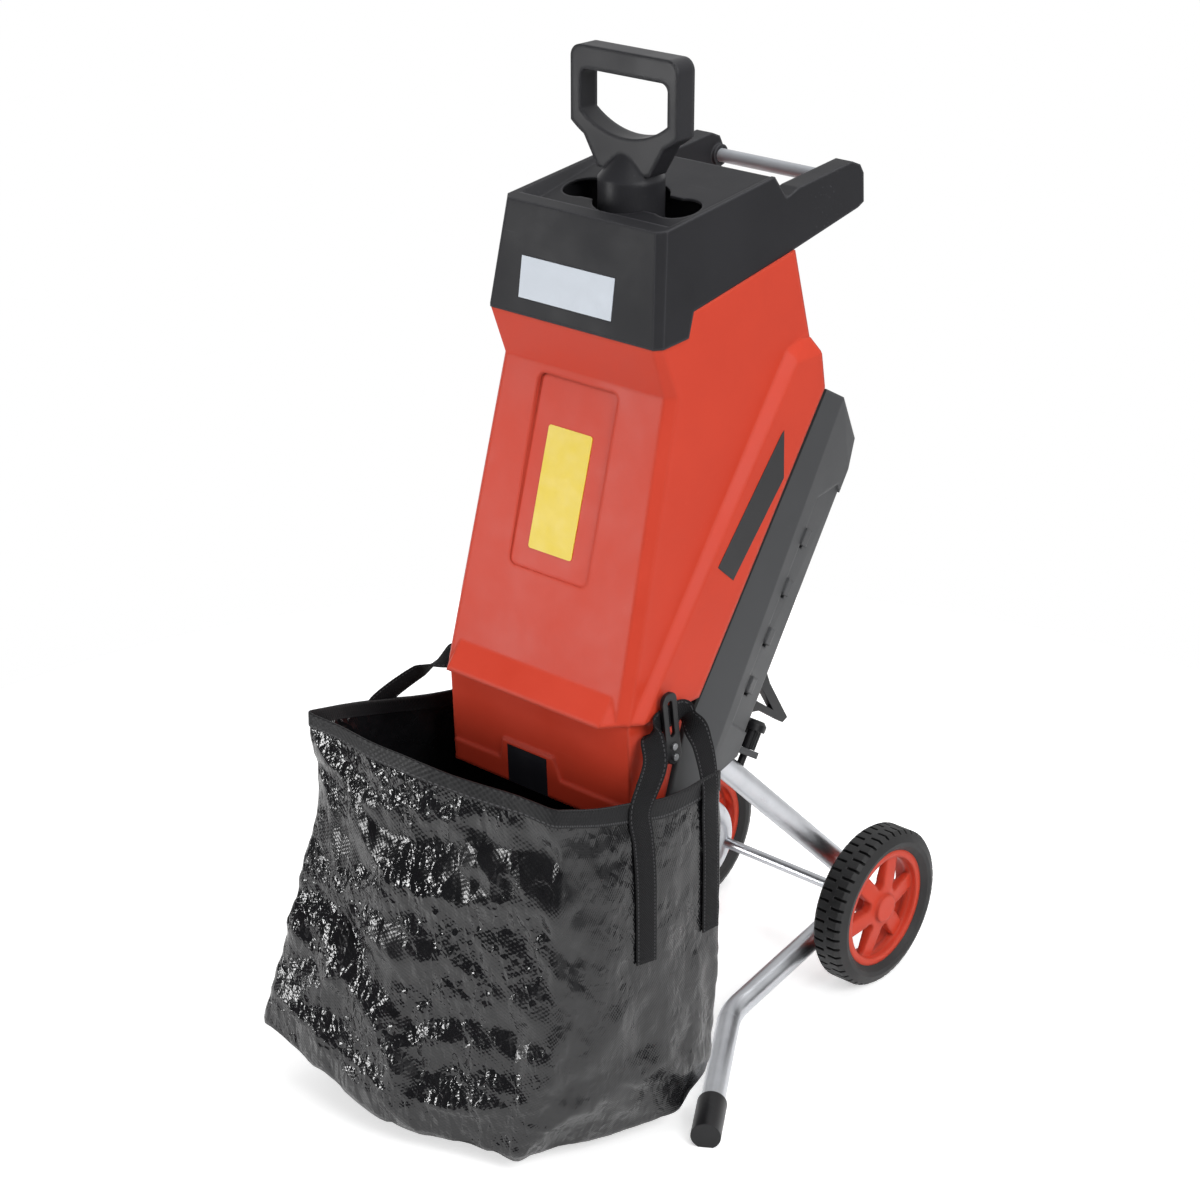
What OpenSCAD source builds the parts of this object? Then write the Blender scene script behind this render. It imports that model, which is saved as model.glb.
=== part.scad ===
// Electric garden shredder: housing on a wheeled tube frame, feed hopper with pusher,
// disc cutter with motor, and a catch bag hung on two hooks.
// Millimetres, +X to the right seen from the front, +Y to the rear, +Z up.

/* [Housing] */
// Wall thickness of the red shell and the hopper
wall = 3; // [2.5:0.1:3.5]
// Width of the front housing at the top of its front panel
body_top_width = 219; // [212:1:224]
// Width of the front housing at the bottom of its front panel
body_low_width = 239; // [234:1:244]
// Height of the raised side bands over the housing's sides at the lower lip
band_raise = 8; // [6:0.5:10]
// Width of the hopper rim
rim_width = 198; // [192:1:204]

/* [Frame] */
// Outside diameter of the leg tubes
tube_diameter = 25; // [22:0.5:26]
// Wall of the leg tubes
tube_wall = 1.5; // [1.2:0.1:2]
// Distance of each leg tube from the middle plane
leg_x = 90; // [86:1:92]
// Diameter of the axle rod
axle_diameter = 12; // [10:0.5:13]
// Diameter of the carry bar
carry_bar_diameter = 14; // [12:0.5:16]

/* [Wheels] */
// Tyre diameter
wheel_diameter = 180; // [174:1:184]
// Tyre width
wheel_width = 42; // [36:1:43]
// Depth of the tread grooves
tread_depth = 4; // [2:0.5:5]

/* [Cutter] */
// Diameter of the blade disc
disc_diameter = 190; // [180:1:194]
// Diameter of the motor stator
stator_diameter = 100; // [92:1:104]
// Diameter of the motor shaft
shaft_diameter = 14; // [12:0.5:15]

/* [Pusher] */
// Width of the D grip
grip_width = 131; // [124:1:136]
// Thickness of the D grip
grip_thickness = 24; // [20:1:28]
// Diameter of the neck
neck_diameter = 64; // [58:1:66]

/* [Small parts] */
// Diameter of the leg clamp knobs
knob_diameter = 24; // [20:1:26]
// Diameter of the start and stop buttons
button_diameter = 22; // [18:1:24]
// Thickness of the bag cloth
bag_cloth = 3; // [2:0.5:4]

/* [Hidden] */
$fn = 64;

running_gap = 0.05;
slide_gap = 0.4;
wheel_r = wheel_diameter / 2;
tube_r = tube_diameter / 2;
axle_r = axle_diameter / 2;
bag_front = 596;
y_mid = (bag_front - wheel_r) / 2;

red = [0.84, 0.25, 0.19];
charcoal = [0.16, 0.16, 0.17];
grey = [0.33, 0.33, 0.34];
zinc = [0.78, 0.78, 0.8];
steel = [0.62, 0.63, 0.65];
black = [0.06, 0.06, 0.065];

// The drawing frame has its zero on the floor under the axle; the part's frame is at the middle.
module place() {
    translate([0, y_mid, 0]) children();
}

// Front, rear and split surfaces, as [y, z] points in the drawing frame.
split_top = [-112, 716];
split_low = [-318, 436];
split_up = (split_top - split_low) / norm(split_top - split_low);
split_back = [split_up[1], -split_up[0]];
split_angle = atan(split_up[0] / split_up[1]);
split_zero = split_top - 140 * split_up;
panel_top = [-332, 757];
panel_low = [-410, 451];
panel_angle = atan((panel_top[0] - panel_low[0]) / (panel_top[1] - panel_low[1]));
hopper_edge = [[-351, 808], [-308, 811], [-299, 834], [-148, 860]];
rear_low = [-213, 343];
rear_high = [-42, 606];
rear_angle = atan((rear_high[0] - rear_low[0]) / (rear_high[1] - rear_low[1]));
seal_depth = 5;

// Frame on the split plane: y runs rearwards out of it, z runs up along it.
module split_frame() {
    translate([0, split_zero[0], split_zero[1]]) rotate([-split_angle, 0, 0]) children();
}

// Frame on the rear face of the motor cover: y runs out of it, z up along it.
module rear_frame() {
    translate([0, rear_low[0], rear_low[1]]) rotate([-rear_angle, 0, 0]) children();
}

// Frame on the front panel: y runs into the housing, z up along it from the panel's top edge.
module panel_frame() {
    translate([0, panel_top[0], panel_top[1]]) rotate([-panel_angle, 0, 0]) children();
}

// Extrudes a [y, z] outline to both sides of the middle plane.
module side_slab(outline, half_width) {
    rotate([90, 0, 90]) linear_extrude(height = 2 * half_width, center = true) polygon(outline);
}

// Extrudes an [x, z] outline from y0 back to y1.
module front_slab(outline, y0, y1) {
    translate([0, y1, 0]) rotate([90, 0, 0]) linear_extrude(height = y1 - y0) polygon(outline);
}

module both_sides() {
    children();
    mirror([1, 0, 0]) children();
}

// Moves every edge of a convex counterclockwise outline inwards by t.
function edge_dir(p, q) = (q - p) / norm(q - p);
function moved_corner(p, q, r, t) =
    let (d1 = edge_dir(p, q), d2 = edge_dir(q, r), n1 = [-d1[1], d1[0]], n2 = [-d2[1], d2[0]])
    q + t * (n1 + n2) / (1 + d1 * d2);
function inset(pts, t) = [for (i = [0:len(pts) - 1])
    moved_corner(pts[(i + len(pts) - 1) % len(pts)], pts[i], pts[(i + 1) % len(pts)], t)];

// Rounded rectangle centred on zero.
module rounded_box(w, h, r) {
    square([w - 2 * r, h], center = true);
    square([w, h - 2 * r], center = true);
    for (x = [-1, 1], y = [-1, 1]) translate([x * (w / 2 - r), y * (h / 2 - r)]) circle(r);
}

// Straight round bar between two points.
module bar(a, b, r) {
    d = b - a;
    translate(a) rotate([0, acos(d[2] / norm(d)), atan2(d[1], d[0])]) cylinder(h = norm(d), r = r);
}

// Straight length of tube between two points.
module tube(a, b, r, t) {
    d = edge_dir(a, b);
    difference() {
        bar(a, b, r);
        bar(a - d, b + d, r - t);
    }
}

// Round bend of tube at corner q of the line from p over q to s; its wall is a little thicker than
// that of the straight lengths, which end inside it.
bend_swell = 0.15;
bend_overlap = 1.5;

module tube_bend(p, q, s, bend_r, r, t) {
    d1 = edge_dir(p, q);
    d2 = edge_dir(q, s);
    turn = acos(d1 * d2);
    n = cross(d1, d2) / norm(cross(d1, d2));
    out = cross(d1, n);
    start = q - d1 * bend_r * tan(turn / 2);
    a = acos(n[2]);
    b = atan2(n[1], n[0]);
    ex = [cos(a) * cos(b), cos(a) * sin(b), -sin(a)];
    ey = [-sin(b), cos(b), 0];
    translate(start - out * bend_r) rotate([0, a, b]) rotate([0, 0, atan2(out * ey, out * ex)])
        rotate_extrude(angle = turn) translate([bend_r, 0]) difference() {
            circle(r + bend_swell);
            circle(r - t - bend_swell);
        }
}

// Front housing

// One level of the housing: straight sides, flat front and chamfered front corners.
module housing_level(z, half_width, front, chamfer, t) {
    w = half_width - t;
    f = front + 2 * t;
    translate([0, 0, z]) linear_extrude(height = 0.1)
        polygon([[-w, -90], [-w, f + chamfer], [-w + chamfer, f], [w - chamfer, f], [w, f + chamfer],
            [w, -90]]);
}

module housing_core(t) {
    hull() {
        housing_level(865, body_top_width / 2 - 3, -372, 4, t);
        housing_level(panel_top[1], body_top_width / 2, panel_top[0], 9, t);
    }
    hull() {
        housing_level(panel_top[1], body_top_width / 2, panel_top[0], 9, t);
        housing_level(panel_low[1], body_low_width / 2, panel_low[0], 9, t);
    }
}

split_at_lip = split_low + (panel_low[1] - split_low[1]) * [tan(split_angle), 1];
core_crop = [[-450, panel_low[1]], split_at_lip, split_top, [-124, 767], hopper_edge[3],
    hopper_edge[2], hopper_edge[1], hopper_edge[0], [-450, 801]];
cavity_crop = [[-450, panel_low[1] - 1], [-300, panel_low[1] - 1], [-102, 709], split_top - [wall, 0],
    [-124 - wall, 767], [-148 - wall, 870], [-450, 870]];
band_low_half = body_low_width / 2 + band_raise;
band_high_half = body_top_width / 2 + 10.5;
band_tip_half = body_top_width / 2 + 1.5;
band_field = [[-433, 420], [-250, 420], [-60, 700], [-100, 760], [-126, 771], [-159, 760.5]];
band_crop = [panel_low, split_at_lip, split_top, [-118, 755], [-126, 769], [-200, 775], [-450, 775],
    [-450, panel_low[1]]];
chute = [[-401, 452], [-396, 336], [-351, 336], split_low, [-308, 452]];
chute_cavity = [[-401 + wall, 462], [-396 + wall, 330], [-353 - wall, 330], [-318 - wall, 436],
    [-308 - wall, 462]];
chute_half = body_low_width / 2 - wall / 2;

// Raised bands: their edge slopes at 45 degrees from the housing's sides.
band_edge_half = 113;

module band_form() {
    hull() {
        side_slab(inset(band_field, -13), band_edge_half - 13);
        side_slab(inset(band_field, 27), band_edge_half + 27);
    }
}

module housing_shell() {
    difference() {
        union() {
            intersection() {
                housing_core(0);
                side_slab(core_crop, 150);
            }
            intersection() {
                side_slab(band_crop, 150);
                band_form();
                front_slab([[-band_low_half, panel_low[1]], [band_low_half, panel_low[1]],
                    [band_high_half, 752], [band_tip_half, 770], [-band_tip_half, 770],
                    [-band_high_half, 752]], -450, -90);
            }
            side_slab(chute, chute_half);
            chute_frame() linear_extrude(height = 3) polygon(chute_ledge);
        }
        intersection() {
            housing_core(wall);
            side_slab(cavity_crop, 150);
        }
        side_slab(chute_cavity, chute_half - wall);
        panel_recess();
        chute_seat();
    }
}

module front_housing() {
    place() color(red) difference() {
        union() {
            housing_shell();
            both_sides() hook_frame() translate([0, 13, -pad_depth]) linear_extrude(height = pad_depth)
                rounded_box(24, 30, 6);
            screw_blocks();
        }
        hook_holes();
        split_frame() housing_screw_holes();
    }
}

// Blocks inside the shell's walls that take the joining screws.
screw_x = 111.4;
block_side = 13;
block_in = screw_x - 5.5;
block_out = 150;

module screw_blocks() {
    intersection() {
        housing_core(wall / 2);
        split_frame() for (p = screw_spots)
            translate([p[0] > 0 ? block_in : -block_out, -block_side - 2, p[1] - block_side / 2])
                cube([block_out - block_in, block_side + 2, block_side]);
    }
}

// Shallow field on the front panel that carries the blank panel plate.
module panel_recess() {
    recess_frame() linear_extrude(height = 12) rounded_box(101, 190, 8);
}

module recess_frame() {
    panel_frame() translate([-4, 2.6, -103]) rotate([recess_lean, 0, 0]) rotate([90, 0, 0]) children();
}

recess_lean = -0.8;

// Raised ledge with a tab on the chute's front, as [x, z] from the chute's lower edge.
ledge_half = chute_half - 2;
chute_ledge = [[-ledge_half, 2], [ledge_half, 2], [ledge_half, 25], [29, 25], [20, 48], [-48, 48], [-52, 25],
    [-ledge_half, 25]];

module chute_frame() {
    translate([0, -395.4, 336]) rotate([2.5, 0, 0]) rotate([90, 0, 0]) children();
}

module chute_seat() {
    chute_frame() translate([-15, 23, 2.4]) linear_extrude(height = 10) square([53, 42], center = true);
}

// Hopper top

hopper_low_z = 800;
hopper_high_z = 940;
hopper_low_half = body_top_width / 2 + 1;
hopper_high_half = rim_width / 2 - 2;
rim_front = [-333, 914];
rim_rear = [-171, 934];
rim_tilt = atan((rim_rear[1] - rim_front[1]) / (rim_rear[0] - rim_front[0]));
hopper_crop = [[-400, 804.6], hopper_edge[0], hopper_edge[1], hopper_edge[2], hopper_edge[3], [-149, 903],
    rim_rear, rim_front, [-400, 906]];
hopper_cavity_crop = [[-400, 790], [-148 - wall, 790], [-149 - wall, 902], rim_rear - [wall + 1, wall],
    rim_front - [0, wall], [-400, 906 - wall]];
dish_low = [-319, 905.5];
dish_high = [-165, 934.1];
dish_slope = (dish_high[1] - dish_low[1]) / (dish_high[0] - dish_low[0]);
dish_half = rim_width / 2 - 5.5;
dish_flare = 1.3;
arm = [[-215, 849], [-148, 860], [-44, 880], [-34.6, 884], [-33, 912], [-38, 921], [-50, 926], [-135, 917],
    [-150, 912], [-215, 904]];
arm_in = 78;
bar_at = [-40, 902];
bar_half = rim_width / 2 - 5;
bar_collar = [11, 4];
feed_z = 868;
feed_at = [0, -264, feed_z];

// Dish of the hopper, grown by t: a floor that rises to the rear between flaring sides.
module dish(t) {
    foot = dish_half - dish_flare * 14 + t;
    top = dish_half + dish_flare * 30 + t;
    intersection() {
        side_slab([dish_low - [t, t], dish_high - [0, t], [dish_high[0], 990], [dish_low[0] - t, 990]], 150);
        translate([0, rim_front[0], rim_front[1]]) rotate([rim_tilt, 0, 0])
            front_slab([[-foot, -14 - t], [foot, -14 - t], [top, 30 - t], [-top, 30 - t]], -10, 200);
    }
}

// Space above the underside of the dish's floor.
module above_dish() {
    under = dish_low - [0, wall + running_gap];
    side_slab([under - 80 * [1, dish_slope], under + 220 * [1, dish_slope], [-100, 1000], [-400, 1000]], 200);
}

module hopper_level(z, half_width, front, chamfer, t) {
    w = half_width - t;
    f = front + t;
    translate([0, 0, z]) linear_extrude(height = 0.1)
        polygon([[-w, -140], [-w, f + chamfer], [-w + chamfer, f], [w - chamfer, f], [w, f + chamfer],
            [w, -140]]);
}

module hopper_core(t) {
    hull() {
        hopper_level(hopper_low_z, hopper_low_half, -352, 7, t);
        hopper_level(hopper_high_z, hopper_high_half, -332, 8, t);
    }
}

module feed_frame() {
    translate(feed_at) children();
}

// Dumbbell outline of the feed slot, made smaller by c all round.
module slot_outline(c) {
    circle(37 - c);
    square([120, 2 * (19 - c)], center = true);
    for (x = [-58, 58]) translate([x, 0]) circle(22 - c);
}

module hopper_top() {
    place() color(charcoal) {
        difference() {
            union() {
                difference() {
                    intersection() {
                        hopper_core(0);
                        side_slab(hopper_crop, 150);
                    }
                    difference() {
                        intersection() {
                            hopper_core(wall);
                            side_slab(hopper_cavity_crop, 150);
                        }
                        dish(wall);
                    }
                }
                carry_arms();
            }
            dish(0);
            feed_frame() translate([0, 0, -30]) linear_extrude(height = 120) slot_outline(0);
            carry_bar_form(running_gap);
            name_seat();
        }
    }
}

// Two arms that carry on the hopper's leaning sides to the rear.
module carry_arms() {
    difference() {
        intersection() {
            side_slab(arm, 150);
            front_slab([[-hopper_low_half, hopper_low_z], [hopper_low_half, hopper_low_z],
                [hopper_high_half, hopper_high_z], [-hopper_high_half, hopper_high_z]], -220, -30);
        }
        side_slab([[-230, 830], [-20, 830], [-20, 960], [-230, 960]], arm_in);
    }
    both_sides() translate([arm_in - bar_collar[1], bar_at[0], bar_at[1]]) rotate([0, 90, 0])
        cylinder(h = bar_collar[1] + 1, r = bar_collar[0]);
}

module carry_bar_form(gap) {
    translate([-bar_half, bar_at[0], bar_at[1]]) rotate([0, 90, 0])
        cylinder(h = 2 * bar_half, r = carry_bar_diameter / 2 + gap);
}

module name_frame() {
    translate([-9, -345.2, 844]) rotate([-8.1, 0, 0]) rotate([90, 0, 0]) children();
}

module name_seat() {
    name_frame() linear_extrude(height = 10) square([117, 40.6], center = true);
}

module name_plate() {
    place() color([0.93, 0.93, 0.94]) name_frame() linear_extrude(height = 0.9)
        square([116.4, 40], center = true);
}

module panel_plate() {
    place() color([0.95, 0.83, 0.1]) recess_frame() translate([-2, -13])
        linear_extrude(height = 0.8) rounded_box(56, 122, 3);
}

module chute_plate() {
    place() color(black) chute_frame() translate([-15, 23, 2.4])
        linear_extrude(height = 0.9) square([52.4, 41.4], center = true);
}

// Dark blank strips on the side bands, let into them by half their thickness.
strip = [[-177, 689], [-181, 686], [-278, 577], [-255, 557], [-177, 640]];

module side_plates() {
    place() color(charcoal) intersection() {
        both_sides() translate([120, 0, 0]) side_slab(strip, 40);
        difference() {
            outer_skin(0.5);
            outer_skin(0);
        }
    }
}

// Outside of the housing's sides with their bands, grown by t.
module outer_skin(t) {
    housing_core(-t);
    front_slab([[-band_low_half - t, panel_low[1]], [band_low_half + t, panel_low[1]],
        [band_high_half + t, 752], [-band_high_half - t, 752]], -450, -90);
}

module carry_bar() {
    place() color(zinc) carry_bar_form(0);
}

// Rear motor cover

cover_top = split_top + seal_depth * split_back;
cover_low = split_low + seal_depth * split_back;
cover_side = [[-345, 343], [-291, 343], [-268, 382], [-79, 697], cover_top, cover_low];
cover_full = [[-345, 343], rear_low, rear_high, [-33, 637], [-79, 697], cover_top, cover_low];
cover_side_half = 120;
cover_rear_half = 102;
cover_wall = 6;

module cover_form(tx, t) {
    hull() {
        side_slab(inset(cover_side, t), cover_side_half - tx);
        side_slab(inset(cover_full, t), cover_rear_half - tx);
    }
}

// Sunk field of the cover's flanks that holds the louvres, as [depth, height] on the split plane.
louvre_field = [[73, 46], [88, -195], [220, -195], [220, 30], [110, 72]];

module split_slab(outline, half_width) {
    split_frame() side_slab(outline, half_width);
}

module rear_cover() {
    place() color(grey) {
        difference() {
            union() {
                difference() {
                    cover_form(0, 0);
                    difference() {
                        split_slab(louvre_field, 150);
                        cover_form(2.5, 0);
                    }
                    cover_form(cover_wall, wall);
                    split_frame() translate([-109, 0, -190]) cube([218, 20, 318]);
                }
                louvres();
                intersection() {
                    cover_form(0, 0);
                    both_sides() leg_bar(285, 352, tube_r + 4);
                }
                both_sides() rear_frame() translate([leg_x - 10, -2, 4]) cube([20, 40, 7]);
            }
            both_sides() leg_bar(200, 345, tube_r + running_gap);
            both_sides() knob_hole();
            split_frame() louvre_slots();
            rear_frame() translate([-31, -20, 168]) cube([62, 40, 92]);
            rear_frame() translate([-24, -20, 86]) cube([48, 40, 44]);
            split_frame() housing_screw_holes();
        }
    }
}

louvre_heights = [-3, -56, -108, -160];

// Small hoods over the cooling slots.
module louvres() {
    intersection() {
        cover_form(-1.5, -1);
        split_frame() both_sides() for (s = louvre_heights) translate([98, 75 - s * 0.09, s])
            cube([26, 15, 17]);
    }
}

module louvre_slots() {
    both_sides() for (s = louvre_heights) translate([85, 77 - s * 0.09, s - 3]) cube([45, 11, 3]);
}

// Screws that join cover, seal and front housing, as [x, height] on the split plane.
screw_r = 1.75;
screw_spots = [for (s = [108, -20, -150], x = [-screw_x, screw_x]) [x, s]];
flange_depth = seal_depth + wall;

module housing_screw_holes() {
    for (p = screw_spots) translate([p[0], -14, p[1]]) rotate([-90, 0, 0])
        cylinder(h = 14 + flange_depth + 1, r = screw_r + running_gap);
}

module housing_screws() {
    place() color(steel) split_frame() for (p = screw_spots) translate([p[0], 0, p[1]]) rotate([-90, 0, 0]) {
        translate([0, 0, -12]) cylinder(h = 12 + flange_depth + 1, r = screw_r);
        translate([0, 0, flange_depth]) cylinder(h = 2, r = 2.5);
    }
}

// The seal's rim shows as a dark line between the bands and the cover.
seal_top_half = max(band_high_half + 0.5, screw_x + 4);
seal_low_half = max(band_low_half - 1.5, screw_x + 4);
seal_in_half = screw_x - 6;
seal_heights = [-203, 139];
seal_width = 13;

module seal_outline() {
    polygon([[-seal_low_half, seal_heights[0]], [seal_low_half, seal_heights[0]],
        [seal_top_half, seal_heights[1]], [-seal_top_half, seal_heights[1]]]);
}

module seal_opening() {
    translate([-seal_in_half, seal_heights[0] + seal_width])
        square([2 * seal_in_half, seal_heights[1] - seal_heights[0] - 2 * seal_width]);
}

module housing_seal() {
    place() color(black) split_frame() difference() {
        translate([0, seal_depth - running_gap, 0]) rotate([90, 0, 0])
            linear_extrude(height = seal_depth - running_gap) difference() {
            seal_outline();
            seal_opening();
        }
        housing_screw_holes();
    }
}

// Feed duct and cutter; the motor stands square to the split plane.

motor_s = -118;
duct_in = [164, 78];
mouth_depth = -27;
blade_front = -19.5;
blade_screw_r = 3;

module motor_frame() {
    split_frame() translate([0, 0, motor_s]) rotate([-90, 0, 0]) children();
}

// Round part on the motor axis from depth d0 to d1 behind the split plane.
module motor_round(d0, d1, r) {
    motor_frame() translate([0, 0, d0]) cylinder(h = d1 - d0, r = r);
}

// Straight duct; two ledges inside it stop the pusher.
module feed_duct() {
    place() color(charcoal) difference() {
        union() {
            feed_frame() translate([0, 0, -460]) linear_extrude(height = 520) difference() {
                rounded_box(duct_in[0] + 2 * wall, duct_in[1] + 2 * wall, 12);
                rounded_box(duct_in[0], duct_in[1], 9);
            }
            both_sides() feed_frame() translate([duct_in[0] / 2 - 8, -10, paddle_low - slide_gap - 5])
                cube([9, 20, 5]);
        }
        above_dish();
        split_frame() translate([-200, mouth_depth, -400]) cube([400, 400, 900]);
    }
}

// Fixed steel edge behind the duct's mouth, on the mounting plate's side of the lower rim.
module counter_blade() {
    place() color(steel) intersection() {
        feed_frame() translate([0, 0, -460]) linear_extrude(height = 470) difference() {
            rounded_box(duct_in[0] + 2 * wall + 16, duct_in[1] + 2 * wall + 16, 14);
            rounded_box(duct_in[0] + 2 * wall, duct_in[1] + 2 * wall, 12);
        }
        split_frame() translate([-60, mouth_depth - 10, -260]) cube([120, 12, 120]);
    }
}

module motor_plate() {
    place() color(steel) difference() {
        split_frame() translate([-108.5, seal_depth, -189.5]) cube([217, 3, 317]);
        motor_round(0, 20, bearing_r + running_gap);
        split_frame() housing_screw_holes();
    }
}

// Sizes of the motor; its depths are measured behind the split plane.
rotor_gap = 0.7;
stator_r = stator_diameter / 2;
rotor_r = stator_diameter * 0.28;
shaft_r = shaft_diameter / 2;
bearing_r = 17;
bearing_width = 9;
commutator_r = 15;
bracket_in = stator_r + 4;
bracket_depth = 88;
rear_bearing_depth = 93;

module stator() {
    place() color([0.35, 0.36, 0.38]) difference() {
        union() {
            motor_round(26, 72, stator_r);
            motor_frame() translate([-bracket_in, -12, 36]) cube([2 * bracket_in, 24, 26]);
        }
        motor_round(20, 90, rotor_r + rotor_gap);
    }
}

module rotor_core() {
    place() color([0.55, 0.34, 0.2]) difference() {
        motor_round(28, 70, rotor_r);
        motor_round(20, 90, shaft_r + running_gap);
    }
}

module commutator() {
    place() color([0.72, 0.45, 0.24]) difference() {
        motor_round(74, 86, commutator_r);
        motor_round(70, 90, shaft_r + running_gap);
    }
}

module motor_shaft() {
    place() color(steel) motor_round(-30, rear_bearing_depth + bearing_width + 2, shaft_r);
}

module bearing(d0) {
    difference() {
        motor_round(d0, d0 + bearing_width, bearing_r);
        motor_round(d0 - 5, d0 + 15, shaft_r + running_gap);
    }
}

module bearing_front() {
    place() color(zinc) bearing(seal_depth);
}

module bearing_rear() {
    place() color(zinc) bearing(rear_bearing_depth);
}

// Bridge behind the stator that carries the rear bearing and the brushes.
module rear_bracket() {
    place() color(steel) difference() {
        union() {
            motor_frame() translate([-bracket_in - 6, -16, bracket_depth]) cube([2 * bracket_in + 12, 32, 5]);
            both_sides() motor_frame() translate([bracket_in, -16, flange_depth])
                cube([6, 32, bracket_depth - flange_depth + 1]);
            motor_round(bracket_depth, rear_bearing_depth + bearing_width, bearing_r + 5);
        }
        motor_round(bracket_depth - 5, bracket_depth + 10, shaft_r + 1);
        motor_round(rear_bearing_depth, rear_bearing_depth + 20, bearing_r + running_gap);
    }
}

module brush_holders() {
    place() color(black) both_sides() motor_frame() difference() {
        translate([commutator_r - 2, -9, 75]) cube([bracket_in - commutator_r + 2, 18, 10]);
        translate([0, 0, 70]) cylinder(h = 30, r = commutator_r + running_gap);
    }
}

module cooling_fan() {
    place() color(charcoal) difference() {
        union() {
            motor_round(14.5, 16, 46);
            motor_round(14.5, 24.5, 14);
            motor_frame() for (i = [0:8]) rotate([0, 0, i * 40]) translate([12, -1, 15.5]) cube([32, 2, 8.5]);
        }
        motor_round(10, 30, shaft_r + running_gap);
    }
}

module blade_disc() {
    place() color(steel) difference() {
        union() {
            motor_round(-14, -8, disc_diameter / 2);
            motor_round(-9, 4, 15);
        }
        motor_round(-40, 20, shaft_r + running_gap);
        motor_frame() for (i = [0, 1]) rotate([0, 0, i * 180]) {
            translate([28, -17, -20]) cube([52, 8, 20]);
            blade_holes();
        }
    }
}

module blade_holes() {
    for (x = [40, 68]) translate([x, 4, -30]) cylinder(h = 30, r = blade_screw_r + running_gap);
}

module blades() {
    place() color([0.75, 0.76, 0.78]) motor_frame() for (i = [0, 1]) rotate([0, 0, i * 180]) difference() {
        translate([28, -12, blade_front]) rotate([90, 0, 90]) linear_extrude(height = 52)
            polygon([[0, 4], [6, 0], [26, 0], [26, -14 - blade_front], [0, -14 - blade_front]]);
        blade_holes();
    }
}

module blade_screws() {
    place() color(steel) motor_frame() for (i = [0, 1], x = [40, 68]) rotate([0, 0, i * 180])
        translate([x, 4, 0]) {
            translate([0, 0, -22]) cylinder(h = 15, r = blade_screw_r);
            translate([0, 0, -23]) cylinder(h = 23 + blade_front, r = 5.5);
        }
}

module disc_nut() {
    place() color(zinc) difference() {
        motor_frame() translate([0, 0, -24]) cylinder(h = 10, r = 12, $fn = 6);
        motor_round(-40, 0, shaft_r + running_gap);
    }
}

module safety_switch() {
    place() color(black) split_frame() {
        translate([-12, 9, 70]) cube([24, 16, 30]);
        translate([-3, 8, 82]) cube([6, 2, 6]);
    }
}

// Rear face: switch, buttons, inlet, cord hook

module switch_box() {
    place() color(black) rear_frame() difference() {
        union() {
            translate([-36, 0, 164]) cube([72, 8, 100]);
            translate([-30.7, -30, 168.3]) cube([61.4, 31, 91.4]);
        }
        for (x = [-15, 15]) translate([x, -22, 226]) rotate([-90, 0, 0])
            cylinder(h = 60, r = button_diameter / 2 + slide_gap);
        translate([0, -22, 190]) rotate([-90, 0, 0]) cylinder(h = 60, r = 6 + slide_gap);
    }
}

module button(x, z, r, tone) {
    place() color(tone) rear_frame() translate([x, 0, z]) rotate([-90, 0, 0])
        translate([0, 0, -16]) cylinder(h = 28, r = r);
}

module start_button() {
    button(-15, 226, button_diameter / 2, [0.1, 0.5, 0.2]);
}

module stop_button() {
    button(15, 226, button_diameter / 2, [0.75, 0.1, 0.1]);
}

module reset_button() {
    button(0, 190, 6, charcoal);
}

module power_inlet() {
    place() color(black) rear_frame() difference() {
        union() {
            translate([-30, 0, 80]) cube([60, 6, 56]);
            translate([-23.7, -26, 86.3]) cube([47.4, 27, 43.4]);
        }
        translate([0, 10, 108]) rotate([90, 0, 0]) linear_extrude(height = 30) rounded_box(38, 34, 6);
    }
}

module inlet_pins() {
    place() color(zinc) rear_frame() for (p = [[-9.5, 113], [9.5, 113], [0, 101]])
        translate([p[0], -20, p[1]]) rotate([-90, 0, 0]) cylinder(h = 19, r = 2.4);
}

cord_hook_outline = [[0, 42], [26, 52], [74, 50], [79, 57], [26, 82], [0, 100]];
cord_hook_eye = [[14, 60], [50, 58], [24, 70], [14, 74]];

module cord_hook() {
    place() color(black) rear_frame() translate([leg_x - 4, 0, 0]) difference() {
        side_slab(cord_hook_outline, 4);
        side_slab(cord_hook_eye, 10);
    }
}

// Frame and wheels

leg_d = [0, 0.722, -0.692];
leg_start = [leg_x, -10.3, 129.9];
leg_top = leg_start - 340 * leg_d;
leg_apex = [leg_x, 44.9, 77];
foot_bend = [leg_x, -200, 27];
cap_r = tube_r + 3;
cap_len = 54;
cap_over = 5;
foot_z = cap_r - 1.5;
foot_dir = [0.537, -0.8436, 0];
foot_len = 205;
foot_end = [leg_x, -200, foot_z] + foot_len * foot_dir;
foot_tip = edge_dir(foot_bend, foot_end);

// Straight bar on the upper leg's line, between two distances from the lower bend.
module leg_bar(t0, t1, r) {
    bar(leg_start - t0 * leg_d, leg_start - t1 * leg_d, r);
}

axle_bend_r = 40;
foot_bend_r = 60;

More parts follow.
